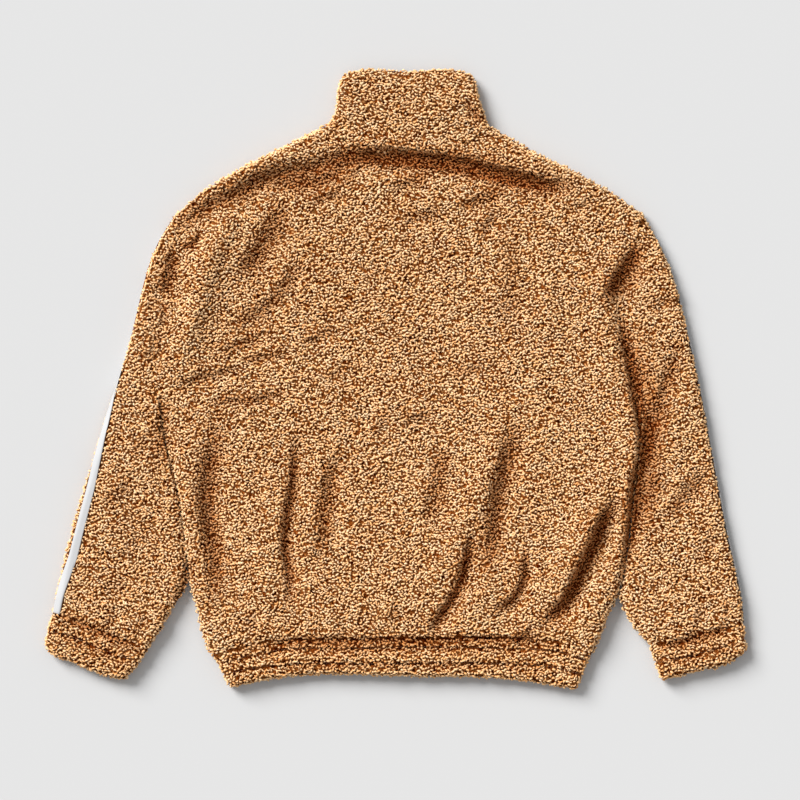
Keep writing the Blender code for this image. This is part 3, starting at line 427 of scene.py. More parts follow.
def creased(creases, points):
    """What these creases do at each plan point: its drop and its groove in metres, and its shade of 1."""
    drop, groove, shade = np.zeros((3, len(points)))
    for crease in creases:
        width = crease.half_width * MM
        path = softened(crease.path)
        reach = CREASE_REACH * width
        near = ((points > path.min(axis=0) - reach) & (points < path.max(axis=0) + reach)).all(axis=1)
        side, share = line_measure(points[near], path)
        across = side / np.where(side < 0, RIDGE_BREADTH * width, HOLLOW_BREADTH * width)
        fade = ease(FADE_RATE * np.minimum(share, 1 - share))
        drop[near] -= crease.drop * MM * fade * across * np.exp((1 - across ** 2) / 2)
        groove[near] += crease.sink * MM * np.exp(-(side / width) ** 2) * fade
        depth = (crease.drop + crease.sink) / DEEPEST
        spread = np.where(across < SHADE_MIDDLE, *SHADE_SPREADS)
        shade[near] += depth * np.exp(-(across - SHADE_MIDDLE) ** 2 / spread) * fade
    return drop, groove, np.clip(shade, 0, 1)


# ---------------------------------------------------------------- cloth

def declare_cloth(piece, cloth):
    """Hides a cloth piece's solid and puts the piece on the body it rides on."""
    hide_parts(cloth.node)
    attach(piece, BODY)


def add_object(name, mesh, material):
    """A new object in the scene with one material."""
    piece = bpy.data.objects.new(name, mesh)
    bpy.context.scene.collection.objects.link(piece)
    mesh.materials.clear()
    mesh.materials.append(material)
    return piece


def set_smooth(mesh):
    """Smooth shading all over."""
    mesh.polygons.foreach_set("use_smooth", [True] * len(mesh.polygons))


def point_attribute(mesh, name, values):
    """A number at each vertex of a mesh, kept under a name for its material."""
    attribute = mesh.attributes.new(name, "FLOAT", "POINT")
    attribute.data.foreach_set("value", np.asarray(values, np.float32))


def make_shell(cloth, depth, material):
    """The ground cloth of a piece: its solid's form, sunk by the pile's depth where it is open to the air."""
    every = forms()
    mesh = every["meshes"][cloth.node]
    points, normals = vectors(mesh.vertices, "co"), vertex_normals(mesh)
    open_skin = open_to_air(mesh, every["tree"])
    on_floor = (normals[:, 2] < FLOOR_FACING) * open_skin
    height = points[:, 2].copy()
    upper = ease((height - LOWER_INSIDE) / (UPPER_INSIDE - LOWER_INSIDE))
    drop, groove, _ = creased(CREASES + BAND_LINES, points[:, :2])
    shade = fold_shade(points[:, :2]) * upper
    least = np.where(normals[:, 2] > 0, LEAST_OUTSIDE, LOWER_INSIDE)
    points[:, 2] = np.maximum(height + (drop - groove) * upper, np.minimum(height, least))
    points[:, 2] += creased(UNDER_CREASES, points[:, :2])[1] * on_floor
    mesh.vertices.foreach_set("co", points.ravel())
    mesh.update()
    sunk = depth * open_skin * (1 - on_floor)
    points -= vertex_normals(mesh) * sunk[:, None]
    mesh.vertices.foreach_set("co", points.ravel())
    point_attribute(mesh, "open_skin", open_skin)
    point_attribute(mesh, "on_floor", on_floor)
    point_attribute(mesh, "shade", shade)
    set_smooth(mesh)
    mesh.update()
    piece = add_object(cloth.node + "_cloth", mesh, material)
    declare_cloth(piece, cloth)
    return piece


# ---------------------------------------------------------------- pile

def vertex_attribute(mesh, name):
    """The numbers kept at a mesh's vertices under a name."""
    values = np.empty(len(mesh.vertices))
    mesh.attributes[name].data.foreach_get("value", values)
    return values


Places = namedtuple("Places", "points leans shades")
CANDIDATES = 3.2  # tries for each place that could be kept
UPPER_LEAN = 2.0  # loops that lean up more than half belong to the upper layer
WHOLLY_OPEN = 0.99
PARTLY_OPEN, LOOKS_UP = 0.03, 0.1  # skin that looks up has loops where little of it is open
LEAST_AREA = 1e-12


def spaced_places(mesh, spacing, seed):
    """Places spread over a mesh's open skin by chance, none nearer to another than the spacing."""
    chance = np.random.default_rng(seed)
    points, normals = vectors(mesh.vertices, "co"), vertex_normals(mesh)
    open_skin = vertex_attribute(mesh, "open_skin")
    mesh.calc_loop_triangles()
    corners = np.empty(len(mesh.loop_triangles) * 3, int)
    mesh.loop_triangles.foreach_get("vertices", corners)
    corners = corners.reshape(-1, 3)
    first, second, third = points[corners].swapaxes(0, 1)
    crossed = np.cross(second - first, third - first)
    area = np.linalg.norm(crossed, axis=1) / 2
    level = crossed[:, 2] / np.maximum(2 * area, LEAST_AREA)
    reached = open_skin[corners].mean(axis=1)
    usable = (reached > WHOLLY_OPEN) | ((reached > PARTLY_OPEN) & (level > LOOKS_UP))
    area = np.where(usable & (level > FLOOR_FACING), area, 0)
    tries = int(CANDIDATES * area.sum() / spacing ** 2)
    chosen = corners[chance.choice(len(corners), tries, p=area / area.sum())]
    weights = chance.dirichlet((1, 1, 1), tries)
    spots = np.einsum("ij,ijk->ik", weights, points[chosen])
    leans = np.einsum("ij,ijk->ik", weights, normals[chosen])
    leans /= np.linalg.norm(leans, axis=1)[:, None]
    tree = KDTree(tries)
    for index, spot in enumerate(spots):
        tree.insert(spot, index)
    tree.balance()
    free = np.ones(tries, bool)
    kept = []
    for index, spot in enumerate(spots):
        if free[index]:
            kept.append(index)
            for _, other, _ in tree.find_range(spot, spacing):
                free[other] = False
    spots, leans = spots[kept], leans[kept]
    return Places(spots, leans, fold_shade(spots[:, :2]) * ease(UPPER_LEAN * leans[:, 2]))


# A strand of yarn is an arch of three rings of three points between two roots.
RING_TURNS = (90, 203, 337)  # degrees
RING_ROWS = ((-0.29, 0.86, 0.5), (0.0, 1.0, 1.0), (0.29, 0.86, 0.5))  # place along, size and rise
RING_TALL = 0.5  # half a ring's height, in its strand's heights
ROOT_PLACE = 0.5
ROOT_RISE = -0.2  # how high the roots and the rings stand, in strand heights
RING_RISE, ARCH_RISE = 0.3, 0.22
BOW = 8  # how far the ends of a bent strand swing back
STRAND_POINTS = 11
# These heights carry painted shade: the material darkens a strand at its roots and on its lower flanks.
STRAND_HEIGHTS = (0.0, 0.9, 0.38, 0.38, 1.0, 0.48, 0.48, 0.9, 0.38, 0.38, 0.0)  # from root to crown
STRAND_FACES = np.array(
    [(0, 1, 2), (0, 2, 3), (0, 3, 1)]
    + [
        face
        for low in (0, 3)
        for a, b in ((1, 2), (2, 3), (3, 1))
        for face in ((low + a, low + a + 3, low + b + 3), (low + a, low + b + 3, low + b))
    ]
    + [(10, 8, 7), (10, 9, 8), (10, 7, 9)]
)
Strands = namedtuple("Strands", "middles leans along length half high bend tilt")


def strand_points(strands):
    """Points of arched strands of yarn: for each a root, three rings and another root."""
    across = np.cross(strands.along, strands.leans)

    def middle(place, rise):
        """The middle line at a place along each strand, bent sideways and risen."""
        bend = strands.bend * (1 - BOW * place * place)
        lift = strands.high * rise + strands.tilt * place
        shift = strands.along * (place * strands.length)[:, None]
        return strands.middles + shift + across * bend[:, None] + strands.leans * lift[:, None]

    points = [middle(-ROOT_PLACE, ROOT_RISE)]
    for place, size, rise in RING_ROWS:
        for angle in RING_TURNS:
            wide, tall = math.cos(math.radians(angle)), RING_TALL * math.sin(math.radians(angle))
            ring = across * (size * wide * strands.half)[:, None]
            ring = ring + strands.leans * (size * tall * strands.high)[:, None]
            points.append(middle(place, RING_RISE + ARCH_RISE * rise) + ring)
    points.append(middle(ROOT_PLACE, ROOT_RISE))
    points = np.stack(points, axis=1).reshape(-1, 3)
    points[:, 2] = np.maximum(points[:, 2], PILE_FLOOR)
    return points


def strand_object(name, strands, tones, shades, material):
    """An object of strands, with each one's tone, height and shade for its material."""
    points = strand_points(strands)
    count = len(tones)
    faces = (np.arange(count)[:, None, None] * STRAND_POINTS + STRAND_FACES).reshape(-1, 3)
    mesh = triangle_mesh(name, points, faces)
    point_attribute(mesh, "tone", np.repeat(tones, STRAND_POINTS))
    point_attribute(mesh, "height", np.tile(STRAND_HEIGHTS, count))
    point_attribute(mesh, "shade", np.repeat(shades, STRAND_POINTS))
    bake_map(mesh, points)
    piece = add_object(name, mesh, material)
    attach(piece, BODY)
    return piece


PATCH_WAVES = 7
PATCH_PITCH = (9 * MM, 34 * MM)
# The ranges that chance draws from for each loop: its height, length and width in usual ones, its
# bend in its own lengths and its tilt in its own heights.
LOOP_HEIGHTS = (0.65, 1.35)
LOOP_LENGTHS = (0.6, 1.45)
LOOP_WIDTHS = (0.65, 1.3)
LOOP_BENDS = (-0.3, 0.3)
LOOP_TILTS = (-0.9, 0.9)
TURN_WITH_PATCH, TURN_ALONE = 0.75, 0.65  # in usual turns
TONE_WITH_PATCH = 0.02
LOOP_TONES = (12.0, 6.2)  # the two powers of the beta distribution of tones


def patches(points, chance):
    """A slow change over the cloth, from about -1 to 1, where one yarn runs on."""
    total = np.zeros(len(points))
    for _ in range(PATCH_WAVES):
        turn, phase = chance.uniform(0, 2 * math.pi, 2)
        pitch = chance.uniform(*PATCH_PITCH)
        along = points[:, 0] * math.cos(turn) + points[:, 1] * math.sin(turn)
        total += np.sin(2 * math.pi * along / pitch + phase)
    return total / math.sqrt(PATCH_WAVES)


def yarn_loops(name, places, size, seed, material):
    """Small arched loops of yarn, one at each place, bent and turned by chance, most of them level."""
    chance = np.random.default_rng(seed)
    count = len(places.points)
    swirl = TURN_WITH_PATCH * patches(places.points, chance) + TURN_ALONE * chance.normal(0, 1, count)
    turn = math.radians(size.loop_turn) * swirl
    level = np.stack([np.cos(turn), np.sin(turn), np.zeros(count)], axis=1)
    across = np.cross(places.leans, level)
    across /= np.linalg.norm(across, axis=1)[:, None]
    high = size.loop_height * chance.uniform(*LOOP_HEIGHTS, count)
    length = size.loop_length * chance.uniform(*LOOP_LENGTHS, count)
    strands = Strands(
        middles=places.points,
        leans=places.leans,
        along=np.cross(across, places.leans),
        length=length,
        half=size.loop_width / 2 * chance.uniform(*LOOP_WIDTHS, count),
        high=high,
        bend=length * chance.uniform(*LOOP_BENDS, count),
        tilt=high * chance.uniform(*LOOP_TILTS, count),
    )
    tones = chance.beta(*LOOP_TONES, count) + TONE_WITH_PATCH * patches(places.points, chance)
    return strand_object(name, strands, np.clip(tones, 0, 1), places.shades, material)


def triangle_mesh(name, points, faces):
    """A mesh from arrays of points and triangles, smooth all over."""
    mesh = bpy.data.meshes.new(name)
    mesh.vertices.add(len(points))
    mesh.vertices.foreach_set("co", points.ravel())
    mesh.loops.add(len(faces) * 3)
    mesh.loops.foreach_set("vertex_index", faces.ravel())
    mesh.polygons.add(len(faces))
    mesh.polygons.foreach_set("loop_start", np.arange(len(faces)) * 3)
    mesh.update(calc_edges=True)
    set_smooth(mesh)
    return mesh


MAP_LEAN = (0.31, 0.37)


def bake_map(mesh, points):
    """A plan map of a dense mesh, leaning a little so that steep faces keep some width, for exports."""
    lean = points[:, :2] + points[:, 2:] * MAP_LEAN
    low = lean.min(axis=0)
    scale = (lean.max(axis=0) - low).max()
    layer = mesh.uv_layers.new(name="OFBake")
    corner = np.empty(len(mesh.loops), int)
    mesh.loops.foreach_get("vertex_index", corner)
    layer.uv.foreach_set("vector", ((lean - low) / scale)[corner].ravel().astype(np.float32))


# ---------------------------------------------------------------- materials

def new_material(name):
    """A material with its node tree and its main shader."""
    material = bpy.data.materials.new(name)
    material.use_nodes = True
    return material, material.node_tree, material.node_tree.nodes["Principled BSDF"]


def feed(tree, node, inputs):
    """Joins a node's inputs to other nodes' outputs, or sets their values."""
    for name, value in inputs.items():
        if isinstance(value, bpy.types.NodeSocket):
            tree.links.new(value, node.inputs[name])
        else:
            node.inputs[name].default_value = value


def add_node(tree, kind, inputs=None, **fields):
    """A new shader node, with its own fields set and its inputs fed."""
    node = tree.nodes.new("ShaderNode" + kind)
    for field, value in fields.items():
        setattr(node, field, value)
    feed(tree, node, inputs or {})
    return node


def own_place(tree):
    """Where a point is in its piece, in metres."""
    return add_node(tree, "TexCoord").outputs["Object"]


def noise(tree, scale, **inputs):
    """Noise over a piece at a scale a metre."""
    return add_node(tree, "TexNoise", {"Vector": own_place(tree), "Scale": scale, **inputs})


def kept_number(tree, name):
    """The number kept at a mesh's vertices under a name."""
    return add_node(tree, "Attribute", attribute_name=name).outputs["Fac"]


def ranged(tree, value, **limits):
    """A number brought from one range to another."""
    limits = {name.replace("_", " ").title(): limit for name, limit in limits.items()}
    return add_node(tree, "MapRange", {"Value": value, **limits}).outputs["Result"]


def reckoned(tree, operation, first, second):
    """The sum or product of two numbers."""
    return add_node(tree, "Math", {0: first, 1: second}, operation=operation).outputs["Value"]


def colour_ramp(tree, value, stops):
    """The colour that a number gives on a ramp with stops of a place and a colour each."""
    node = add_node(tree, "ValToRGB", {"Fac": value})
    elements = node.color_ramp.elements
    while len(elements) < len(stops):
        elements.new(0.5)
    for element, (place, colour) in zip(elements, stops):
        element.position = place
        element.color = (*colour, 1)
    return node.outputs["Color"]


def bumped(tree, height, strength, distance):
    """The normal of a surface with this relief."""
    inputs = {"Height": height, "Strength": strength, "Distance": distance}
    return add_node(tree, "Bump", inputs).outputs["Normal"]


def new_group(name, inputs, outputs):
    """A node group with numbers as its inputs and outputs of the kinds given, with its two ends."""
    tree = bpy.data.node_groups.new(name, "ShaderNodeTree")
    for label, value in inputs.items():
        socket = tree.interface.new_socket(label, in_out="INPUT", socket_type="NodeSocketFloat")
        socket.default_value = value
    for label, kind in outputs.items():
        tree.interface.new_socket(label, in_out="OUTPUT", socket_type="NodeSocket" + kind)
    return tree, tree.nodes.new("NodeGroupInput").outputs, tree.nodes.new("NodeGroupOutput")


def shared_group(name, make, *values):
    """A node group by its name, made at the first call."""
    return bpy.data.node_groups.get(name) or make(*values)


def placed_group(tree, group, inputs):
    """The outputs of a shared group, placed in a material with its own inputs."""
    return add_node(tree, "Group", inputs, node_tree=group).outputs


# Painted shade: what is left of a loop's colour from root to crown, darkest at the roots, and into a fold.
PAINTED_PILE_SHADE = ((0.0, (0.25, 0.10, 0.025)), (0.4, (0.72, 0.52, 0.34)), (1.0, (1.0, 1.0, 1.0)))
SHADE_TINTS = ((0.0, (1.0, 1.0, 1.0)), (0.45, (0.76, 0.62, 0.50)), (1.0, (0.48, 0.27, 0.15)))


def yarn_tone_and_painted_shade(colours):
    """A group for a yarn's colour by its tone, with painted shade by its height from root to crown and by a
    fold's shade.
    """
    inputs = {"Tone": 0.5, "Height": 1.0, "Shade": 0.0}
    tree, entry, leave = new_group("Yarn colours and painted shade", inputs, {"Color": "Color"})
    total = colour_ramp(tree, entry["Tone"], colours)
    for label, stops in (("Height", PAINTED_PILE_SHADE), ("Shade", SHADE_TINTS)):
        tint = colour_ramp(tree, entry[label], stops)
        total = add_node(tree, "VectorMath", {0: total, 1: tint}, operation="MULTIPLY").outputs["Vector"]
    feed(tree, leave, {"Color": total})
    return tree


def boucle_cells():
    """A group for tones and heights like a bed of small loops, for cloth without modelled ones."""
    tree, entry, leave = new_group("Boucle cells", {"Scale": 300.0}, {"Tone": "Float", "Height": "Float"})
    warp = {"Fac": 0.002, "Color1": own_place(tree), "Color2": noise(tree, 180).outputs["Color"]}
    place = add_node(tree, "MixRGB", warp, blend_type="LINEAR_LIGHT").outputs["Color"]
    bed = {"Vector": place, "Scale": entry["Scale"]}
    cells = add_node(tree, "TexVoronoi", bed)
    edges = add_node(tree, "TexVoronoi", bed, feature="DISTANCE_TO_EDGE")
    tone = add_node(tree, "SeparateColor", {"Color": cells.outputs["Color"]}).outputs["Red"]
    # The height is low at the cells' edges, which gives both relief and painted shade there.
    feed(tree, leave, {"Tone": tone, "Height": ranged(tree, edges.outputs["Distance"], from_max=0.35)})
    return tree


def yarn_fibres():
    """A group for the single fibres of yarn: the tone with theirs added, and their relief."""
    inputs = {"Tone": 0.5, "Darkest": -0.17, "Lightest": 0.17}
    tree, entry, leave = new_group("Yarn fibres", inputs, {"Tone": "Float", "Height": "Float"})
    fibres = noise(tree, 480, Detail=2).outputs["Fac"]
    limits = {"to_min": entry["Darkest"], "to_max": entry["Lightest"]}
    grain = ranged(tree, fibres, from_min=0.3, from_max=0.7, **limits)
    feed(tree, leave, {"Tone": reckoned(tree, "ADD", entry["Tone"], grain), "Height": fibres})
    return tree


def woven_ribs():
    """A group for plain weave: where it is soiled, and the relief of its ribs."""
    tree, entry, leave = new_group("Woven ribs", {"Scale": 350.0}, {"Soil": "Float", "Height": "Float"})
    wave = {"Vector": own_place(tree), "Scale": entry["Scale"], "Distortion": 0.4}
    ribs = add_node(tree, "TexWave", wave, bands_direction="Y").outputs["Fac"]
    feed(tree, leave, {"Soil": noise(tree, 60).outputs["Fac"], "Height": ribs})
    return tree


def fine_marks():
    """A group for the roughness of a hard surface with fine marks, from its least to its most."""
    inputs = {"Scale": 1000.0, "Least": 0.3, "Most": 0.5}
    tree, entry, leave = new_group("Fine marks", inputs, {"Roughness": "Float"})
    marks = noise(tree, entry["Scale"]).outputs["Fac"]
    rough = ranged(tree, marks, to_min=entry["Least"], to_max=entry["Most"])
    feed(tree, leave, {"Roughness": rough})
    return tree


def yarn_colour(tree, settings, tone, height):
    """The colour of yarn of a tone, with painted shade by its height and where the folds' shade falls on it.
    """
    colours = (
        (0.0, tuple(settings.dark_colour)),
        (0.14, tuple(settings.brown_colour)),
        (0.38, tuple(settings.amber_colour)),
        (0.66, tuple(settings.tan_colour)),
        (0.92, tuple(settings.cream_colour)),
    )
    inputs = {"Tone": tone, "Height": height, "Shade": kept_number(tree, "shade")}
    return placed_group(tree, shared_group("Yarn colours and painted shade", yarn_tone_and_painted_shade, colours), inputs)["Color"]


# How far the tones of each fleece's ground and yarn are shifted, and those of single fibres in it.
GROUND_TONES = {"looped_fleece": -0.05, "band_fleece": -0.15}
YARN_TONES = {"looped_fleece": 0.0, "band_fleece": -0.06}
FIBRE_TONES = 0.17
CELL_SCALE = 290  # loops a metre


def yarn_material(slot, settings):
    """Looped yarn: a colour for each loop, with painted shade at its roots and in folds, and fibres in its
    grain.
    """
    material, tree, shader = new_material(slot + "_yarn")
    fibres = placed_group(tree, shared_group("Yarn fibres", yarn_fibres), {
        "Tone": kept_number(tree, "tone"),
        "Darkest": YARN_TONES[slot] - FIBRE_TONES,
        "Lightest": YARN_TONES[slot] + FIBRE_TONES,
    })
    feed(tree, shader, {
        "Base Color": yarn_colour(tree, settings, fibres["Tone"], kept_number(tree, "height")),
        "Normal": bumped(tree, fibres["Height"], 0.9, 0.7 * MM),
        "Roughness": 0.72,
        "Specular IOR Level": 0.06,
    })
    return material


def ground_material(slot, settings):
    """The cloth under the loops: painted shade between them, and a close bed of loops where it lies on the
    floor.
    """
    material, tree, shader = new_material(slot + "_ground")
    cells = placed_group(tree, shared_group("Boucle cells", boucle_cells), {"Scale": CELL_SCALE})
    tone = reckoned(tree, "ADD", cells["Tone"], GROUND_TONES[slot])
    # Painted shade: off the floor the ground takes the dark tint of the loops' roots; on the floor only the
    # cells' edges do.
    painted_ground_shade = ranged(tree, kept_number(tree, "on_floor"), to_min=0.12)
    height = reckoned(tree, "MULTIPLY", painted_ground_shade, cells["Height"])
    feed(tree, shader, {
        "Base Color": yarn_colour(tree, settings, tone, height),
        "Normal": bumped(tree, cells["Height"], 1.0, 1.2 * MM),
        "Roughness": 0.95,
        "Specular IOR Level": 0.0,
    })
    return material


WAVE_BANDS = 3.18  # of a wave texture in a metre, at scale 1
SOILED = 0.9  # what is left of a woven colour where it is soiled


def woven_material(name, colour, pitch, roughness):
    """Plain woven tape with fine ribs across it."""
    material, tree, shader = new_material(name)
    group = shared_group("Woven ribs", woven_ribs)
    weave = placed_group(tree, group, {"Scale": 1 / pitch / WAVE_BANDS})
    soiled = tuple(SOILED * part for part in colour)
    feed(tree, shader, {
        "Base Color": colour_ramp(tree, weave["Soil"], ((0.0, soiled), (1.0, colour))),
        "Normal": bumped(tree, weave["Height"], 0.35, 0.25 * MM),
        "Roughness": roughness,
        "Sheen Weight": 0.1,
    })
    return material


def hard_material(name, colour, metallic, marks, least, most):
    """Metal or moulded plastic with fine marks, whose roughness changes from the least to the most."""
    material, tree, shader = new_material(name)
    group = shared_group("Fine marks", fine_marks)
    gloss = placed_group(tree, group, {"Scale": marks, "Least": least, "Most": most})
    feed(tree, shader, {
        "Base Color": (*colour, 1),
        "Metallic": metallic,
        "Roughness": gloss["Roughness"],
    })
    return material


# ---------------------------------------------------------------- settings

def length_field(name, default, description):
    """A setting that is a length in metres."""
    return FloatProperty(name=name, default=default, unit="LENGTH", description=description)


def angle_field(name, degrees, description):
    """A setting that is an angle."""
    return FloatProperty(
        name=name, default=math.radians(degrees), subtype="ANGLE", description=description,
    )


def colour_field(name, default, description):
    """A setting that is a colour."""
    return FloatVectorProperty(name=name, default=default, subtype="COLOR", description=description)


class JacketFleece(bpy.types.PropertyGroup):
    """Sizes and colours of the looped fleece."""

    loop_length: length_field("Loop length", 5.3 * MM, "Usual length of a loop of yarn")
    loop_width: length_field("Loop width", 3.1 * MM, "Usual width of a loop of yarn")
    loop_height: length_field("Loop height", 3.0 * MM, "How high a loop's crown stands")
    loop_turn: FloatProperty(
        name="Loop turn", default=42.0, description="Usual turn of a loop away from level, in degrees",
    )
    spacing: length_field("Spacing", 2.65 * MM, "Least distance between loops")
    pile_depth: length_field("Pile depth", 2.4 * MM, "Depth of the pile over the ground cloth")
    seed: IntProperty(name="Seed", default=7, description="Chooses the loops' places and turns")
    dark_colour: colour_field("Dark", (0.14, 0.028, 0.002), "Darkest yarn")
    brown_colour: colour_field("Brown", (0.56, 0.23, 0.055), "Brown yarn")
    amber_colour: colour_field("Amber", (0.89, 0.50, 0.20), "Amber yarn")
    tan_colour: colour_field("Tan", (0.97, 0.68, 0.38), "Tan yarn")
    cream_colour: colour_field("Cream", (0.98, 0.79, 0.54), "Cream yarn")


class JacketTrim(bpy.types.PropertyGroup):
    """Sizes and colours of the stripes, the stitches and the zip."""

    stripe_colour: colour_field("Stripe", (0.49, 0.49, 0.495), "Woven stripe")
    rib_pitch: length_field("Rib pitch", 0.9 * MM, "Distance between the stripe's ribs")
    stripe_sink: length_field("Stripe sink", 1.3 * MM, "How deep the stripe lies in the pile")
    thread_colour: colour_field("Thread", (0.20, 0.09, 0.03), "Thread of the bands' stitch rows")
    stitch_pitch: length_field("Stitch pitch", 3.4 * MM, "Distance between stitches")
    tape_colour: colour_field("Zip tape", (0.13, 0.06, 0.025), "Woven zip tape")
    tooth_colour: colour_field("Zip teeth", (0.20, 0.10, 0.045), "Moulded zip teeth")
    metal_colour: colour_field("Zip metal", (0.72, 0.62, 0.42), "Slider and pull tab")
    tooth_pitch: length_field("Tooth pitch", 2.5 * MM, "Distance between teeth on one side")


class JacketStage(bpy.types.PropertyGroup):
    """The floor, the light and the camera."""

    floor_colour: colour_field("Floor", (0.567, 0.567, 0.567), "Plain floor")
    key_strength: FloatProperty(
        name="Key", default=5.2, description="Strength of the light from the upper left",
    )
    key_height: angle_field("Key height", 33, "Height of the key light")
    key_turn: angle_field("Key turn", 135, "Direction it comes from")
    key_softness: angle_field("Key softness", 30, "Width of the key light")
    fill_strength: FloatProperty(
        name="Fill", default=0.50, description="Strength of the even light all round",
    )
    view_width: length_field("View width", 0.96, "Width of the floor in the picture")
    lens: FloatProperty(name="Lens", default=180.0, description="Focal length in millimetres")


# ---------------------------------------------------------------- operators

def make_shells(cloths, fleece):
    """The ground cloth of several pieces of one finish."""
    ground = ground_material(cloths[0].slot, fleece)
    for cloth in cloths:
        make_shell(cloth, fleece.pile_depth, ground)


class JACKET_OT_panels(bpy.types.Operator):
    """Make the ground cloth of the back, the fronts, the sleeves and the collar"""

    bl_idname = "jacket.panels"
    bl_label = "Panels"

    def execute(self, context):
        make_shells(PANELS, context.scene.jacket_fleece)
        return {"FINISHED"}


class JACKET_OT_bands(bpy.types.Operator):
    """Make the ground cloth of the gathered hem band and cuffs"""

    bl_idname = "jacket.bands"
    bl_label = "Hem band and cuffs"

    def execute(self, context):
        make_shells(BANDS, context.scene.jacket_fleece)
        return {"FINISHED"}


STRIPED = ("stripe_left", "stripe_right")


class JACKET_OT_stripes(bpy.types.Operator):
    """Lay the woven stripe along each sleeve, down in the pile"""

    bl_idname = "jacket.stripes"
    bl_label = "Stripes"

    def execute(self, context):
        trim = context.scene.jacket_trim
        woven = woven_material("woven_stripe", trim.stripe_colour, trim.rib_pitch, 0.6)
        for node in STRIPED:
            mesh = smoothed_form(Cloth(node, 1, None, None, (), "woven_stripe"))
            sleeve = skins_tree([FRAME["nodes"][node.replace("stripe", "sleeve")].data])
            for vertex in mesh.vertices:
                normal = sleeve.find_nearest(vertex.co)[1]
                vertex.co -= normal * trim.stripe_sink
            set_smooth(mesh)
            mesh.update()
            piece = add_object(node + "_tape", mesh, woven)
            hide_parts(node)
            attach(piece, BODY)
        return {"FINISHED"}


# How many pieces the pile of a node is made in, so that none is too heavy.
PILE_PARTS = {"back": 3}
TAPE_MARGIN = 1.2 * MM  # loops beside a stripe start this far from it
TAPE_COVER = 6 * MM  # and none is under one that is this near
LINE_MARGIN = 1.15 * MM  # loops beside a band's seam or stitches start this far from them


def clear_of_lines(places):
    """The places that aren't on the seams and stitch rows of the bands."""
    apart = [np.abs(line_measure(places.points[:, :2], softened(line.path))[0]) for line in BAND_LINES]
    clear = (places.leans[:, 2] < 0) | (np.min(apart, axis=0) > LINE_MARGIN)
    return Places(*(values[clear] for values in places))


def clear_of_tapes(places, tapes):
    """The places that are neither under a stripe nor close beside it."""
    clear = np.array([
        tapes.find_nearest(Vector(point), TAPE_MARGIN)[0] is None
        and tapes.ray_cast(Vector(point), Vector(lean), TAPE_COVER)[0] is None
        for point, lean in zip(places.points, places.leans)
    ])
    return Places(*(values[clear] for values in places))


class JACKET_OT_pile(bpy.types.Operator):
    """Cover the outer cloth with loops of yarn"""

    bl_idname = "jacket.pile"
    bl_label = "Pile"

    def execute(self, context):
        fleece = context.scene.jacket_fleece
        tapes = skins_tree([bpy.data.objects[node + "_tape"].data for node in STRIPED])
        yarn = {slot: yarn_material(slot, fleece) for slot in YARN_TONES}
        for number, cloth in enumerate(PANELS + BANDS):
            parts = PILE_PARTS.get(cloth.node, 1)
            seed = fleece.seed + 10 * number
            ground = bpy.data.objects[cloth.node + "_cloth"]
            places = spaced_places(ground.data, fleece.spacing, seed)
            places = clear_of_tapes(clear_of_lines(places), tapes)
            order = np.argsort(-places.points[:, 1], kind="stable")
            for part, share in enumerate(np.array_split(order, parts)):
                name = cloth.node + "_pile" + (f"_{part + 1}" if parts > 1 else "")
                some = Places(*(values[share] for values in places))
                piece = yarn_loops(name, some, fleece, seed + part, yarn[cloth.slot])
        return {"FINISHED"}


ABOVE = 0.05  # stitches are dropped onto their band from this height
THREAD = 0.8 * MM
THREAD_TWIST = 0.5 * MM
STITCH_HEIGHT = 1.3 * MM
STITCH_SHARE = 0.8  # of its pitch that a stitch spans


def stitch_spots(path, pitch):
    """Places along a path at even steps, and the way ahead at each."""
    measure = np.append(0, np.cumsum(np.linalg.norm(np.diff(path, axis=0), axis=1)))
    stops = np.arange(pitch, measure[-1], pitch)
    spots = np.stack([np.interp(stops, measure, path[:, k]) for k in (0, 1)], axis=1)
    return zip(spots, np.gradient(spots, axis=0))


class JACKET_OT_stitches(bpy.types.Operator):
    """Sew the rows of stitches through the hem band and the cuffs"""

    bl_idname = "jacket.stitches"
    bl_label = "Stitch rows"

    def execute(self, context):
        trim = context.scene.jacket_trim
        thread = woven_material("stitch_thread", trim.thread_colour, THREAD_TWIST, 0.7)
        bands = skins_tree([bpy.data.objects[cloth.node + "_cloth"].data for cloth in BANDS])
        rows = [softened(line.path) for line in BAND_LINES if "stitch row" in line.name]
        middles, leans, along = [], [], []
        for row in rows:
            for spot, way in stitch_spots(row, trim.stitch_pitch):
                hit, normal = bands.ray_cast(Vector((*spot, ABOVE)), -UP)[:2]
                if hit is not None:
                    middles.append(hit)
                    leans.append(normal)
                    along.append(Vector((*way, 0)).normalized())
        leans, along = np.array(leans), np.array(along)
        along -= leans * (along * leans).sum(axis=1)[:, None]
        along /= np.linalg.norm(along, axis=1)[:, None]
        same, none = np.ones(len(middles)), np.zeros(len(middles))
        strands = Strands(
            middles=np.array(middles), leans=leans, along=along,
            length=same * STITCH_SHARE * trim.stitch_pitch,
            half=same * THREAD / 2, high=same * STITCH_HEIGHT, bend=none, tilt=none,
        )
        piece = strand_object("band_stitches", strands, none, none, thread)
        return {"FINISHED"}


# The closed zip: its middle, the height of its chain's middle and its ends.
ZIP_X = 10.0 * MM
ZIP_HEIGHT = 3.7 * MM
ZIP_ENDS = (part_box("zip_chain")[0][1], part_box("zip_chain")[1][1])
TAPE_STEPS = 180
TAPE_RIBS = 0.6 * MM
# Half of a tape's section from its inner edge to its outer one, with a bead along the inner edge.
TAPE_SECTION = (
    (0.5 * MM, 0.27 * MM), (1.6 * MM, 0.3 * MM), (2.0 * MM, 0.216 * MM),
    (5.2 * MM, 0.216 * MM), (5.6 * MM, 0.3 * MM),
)
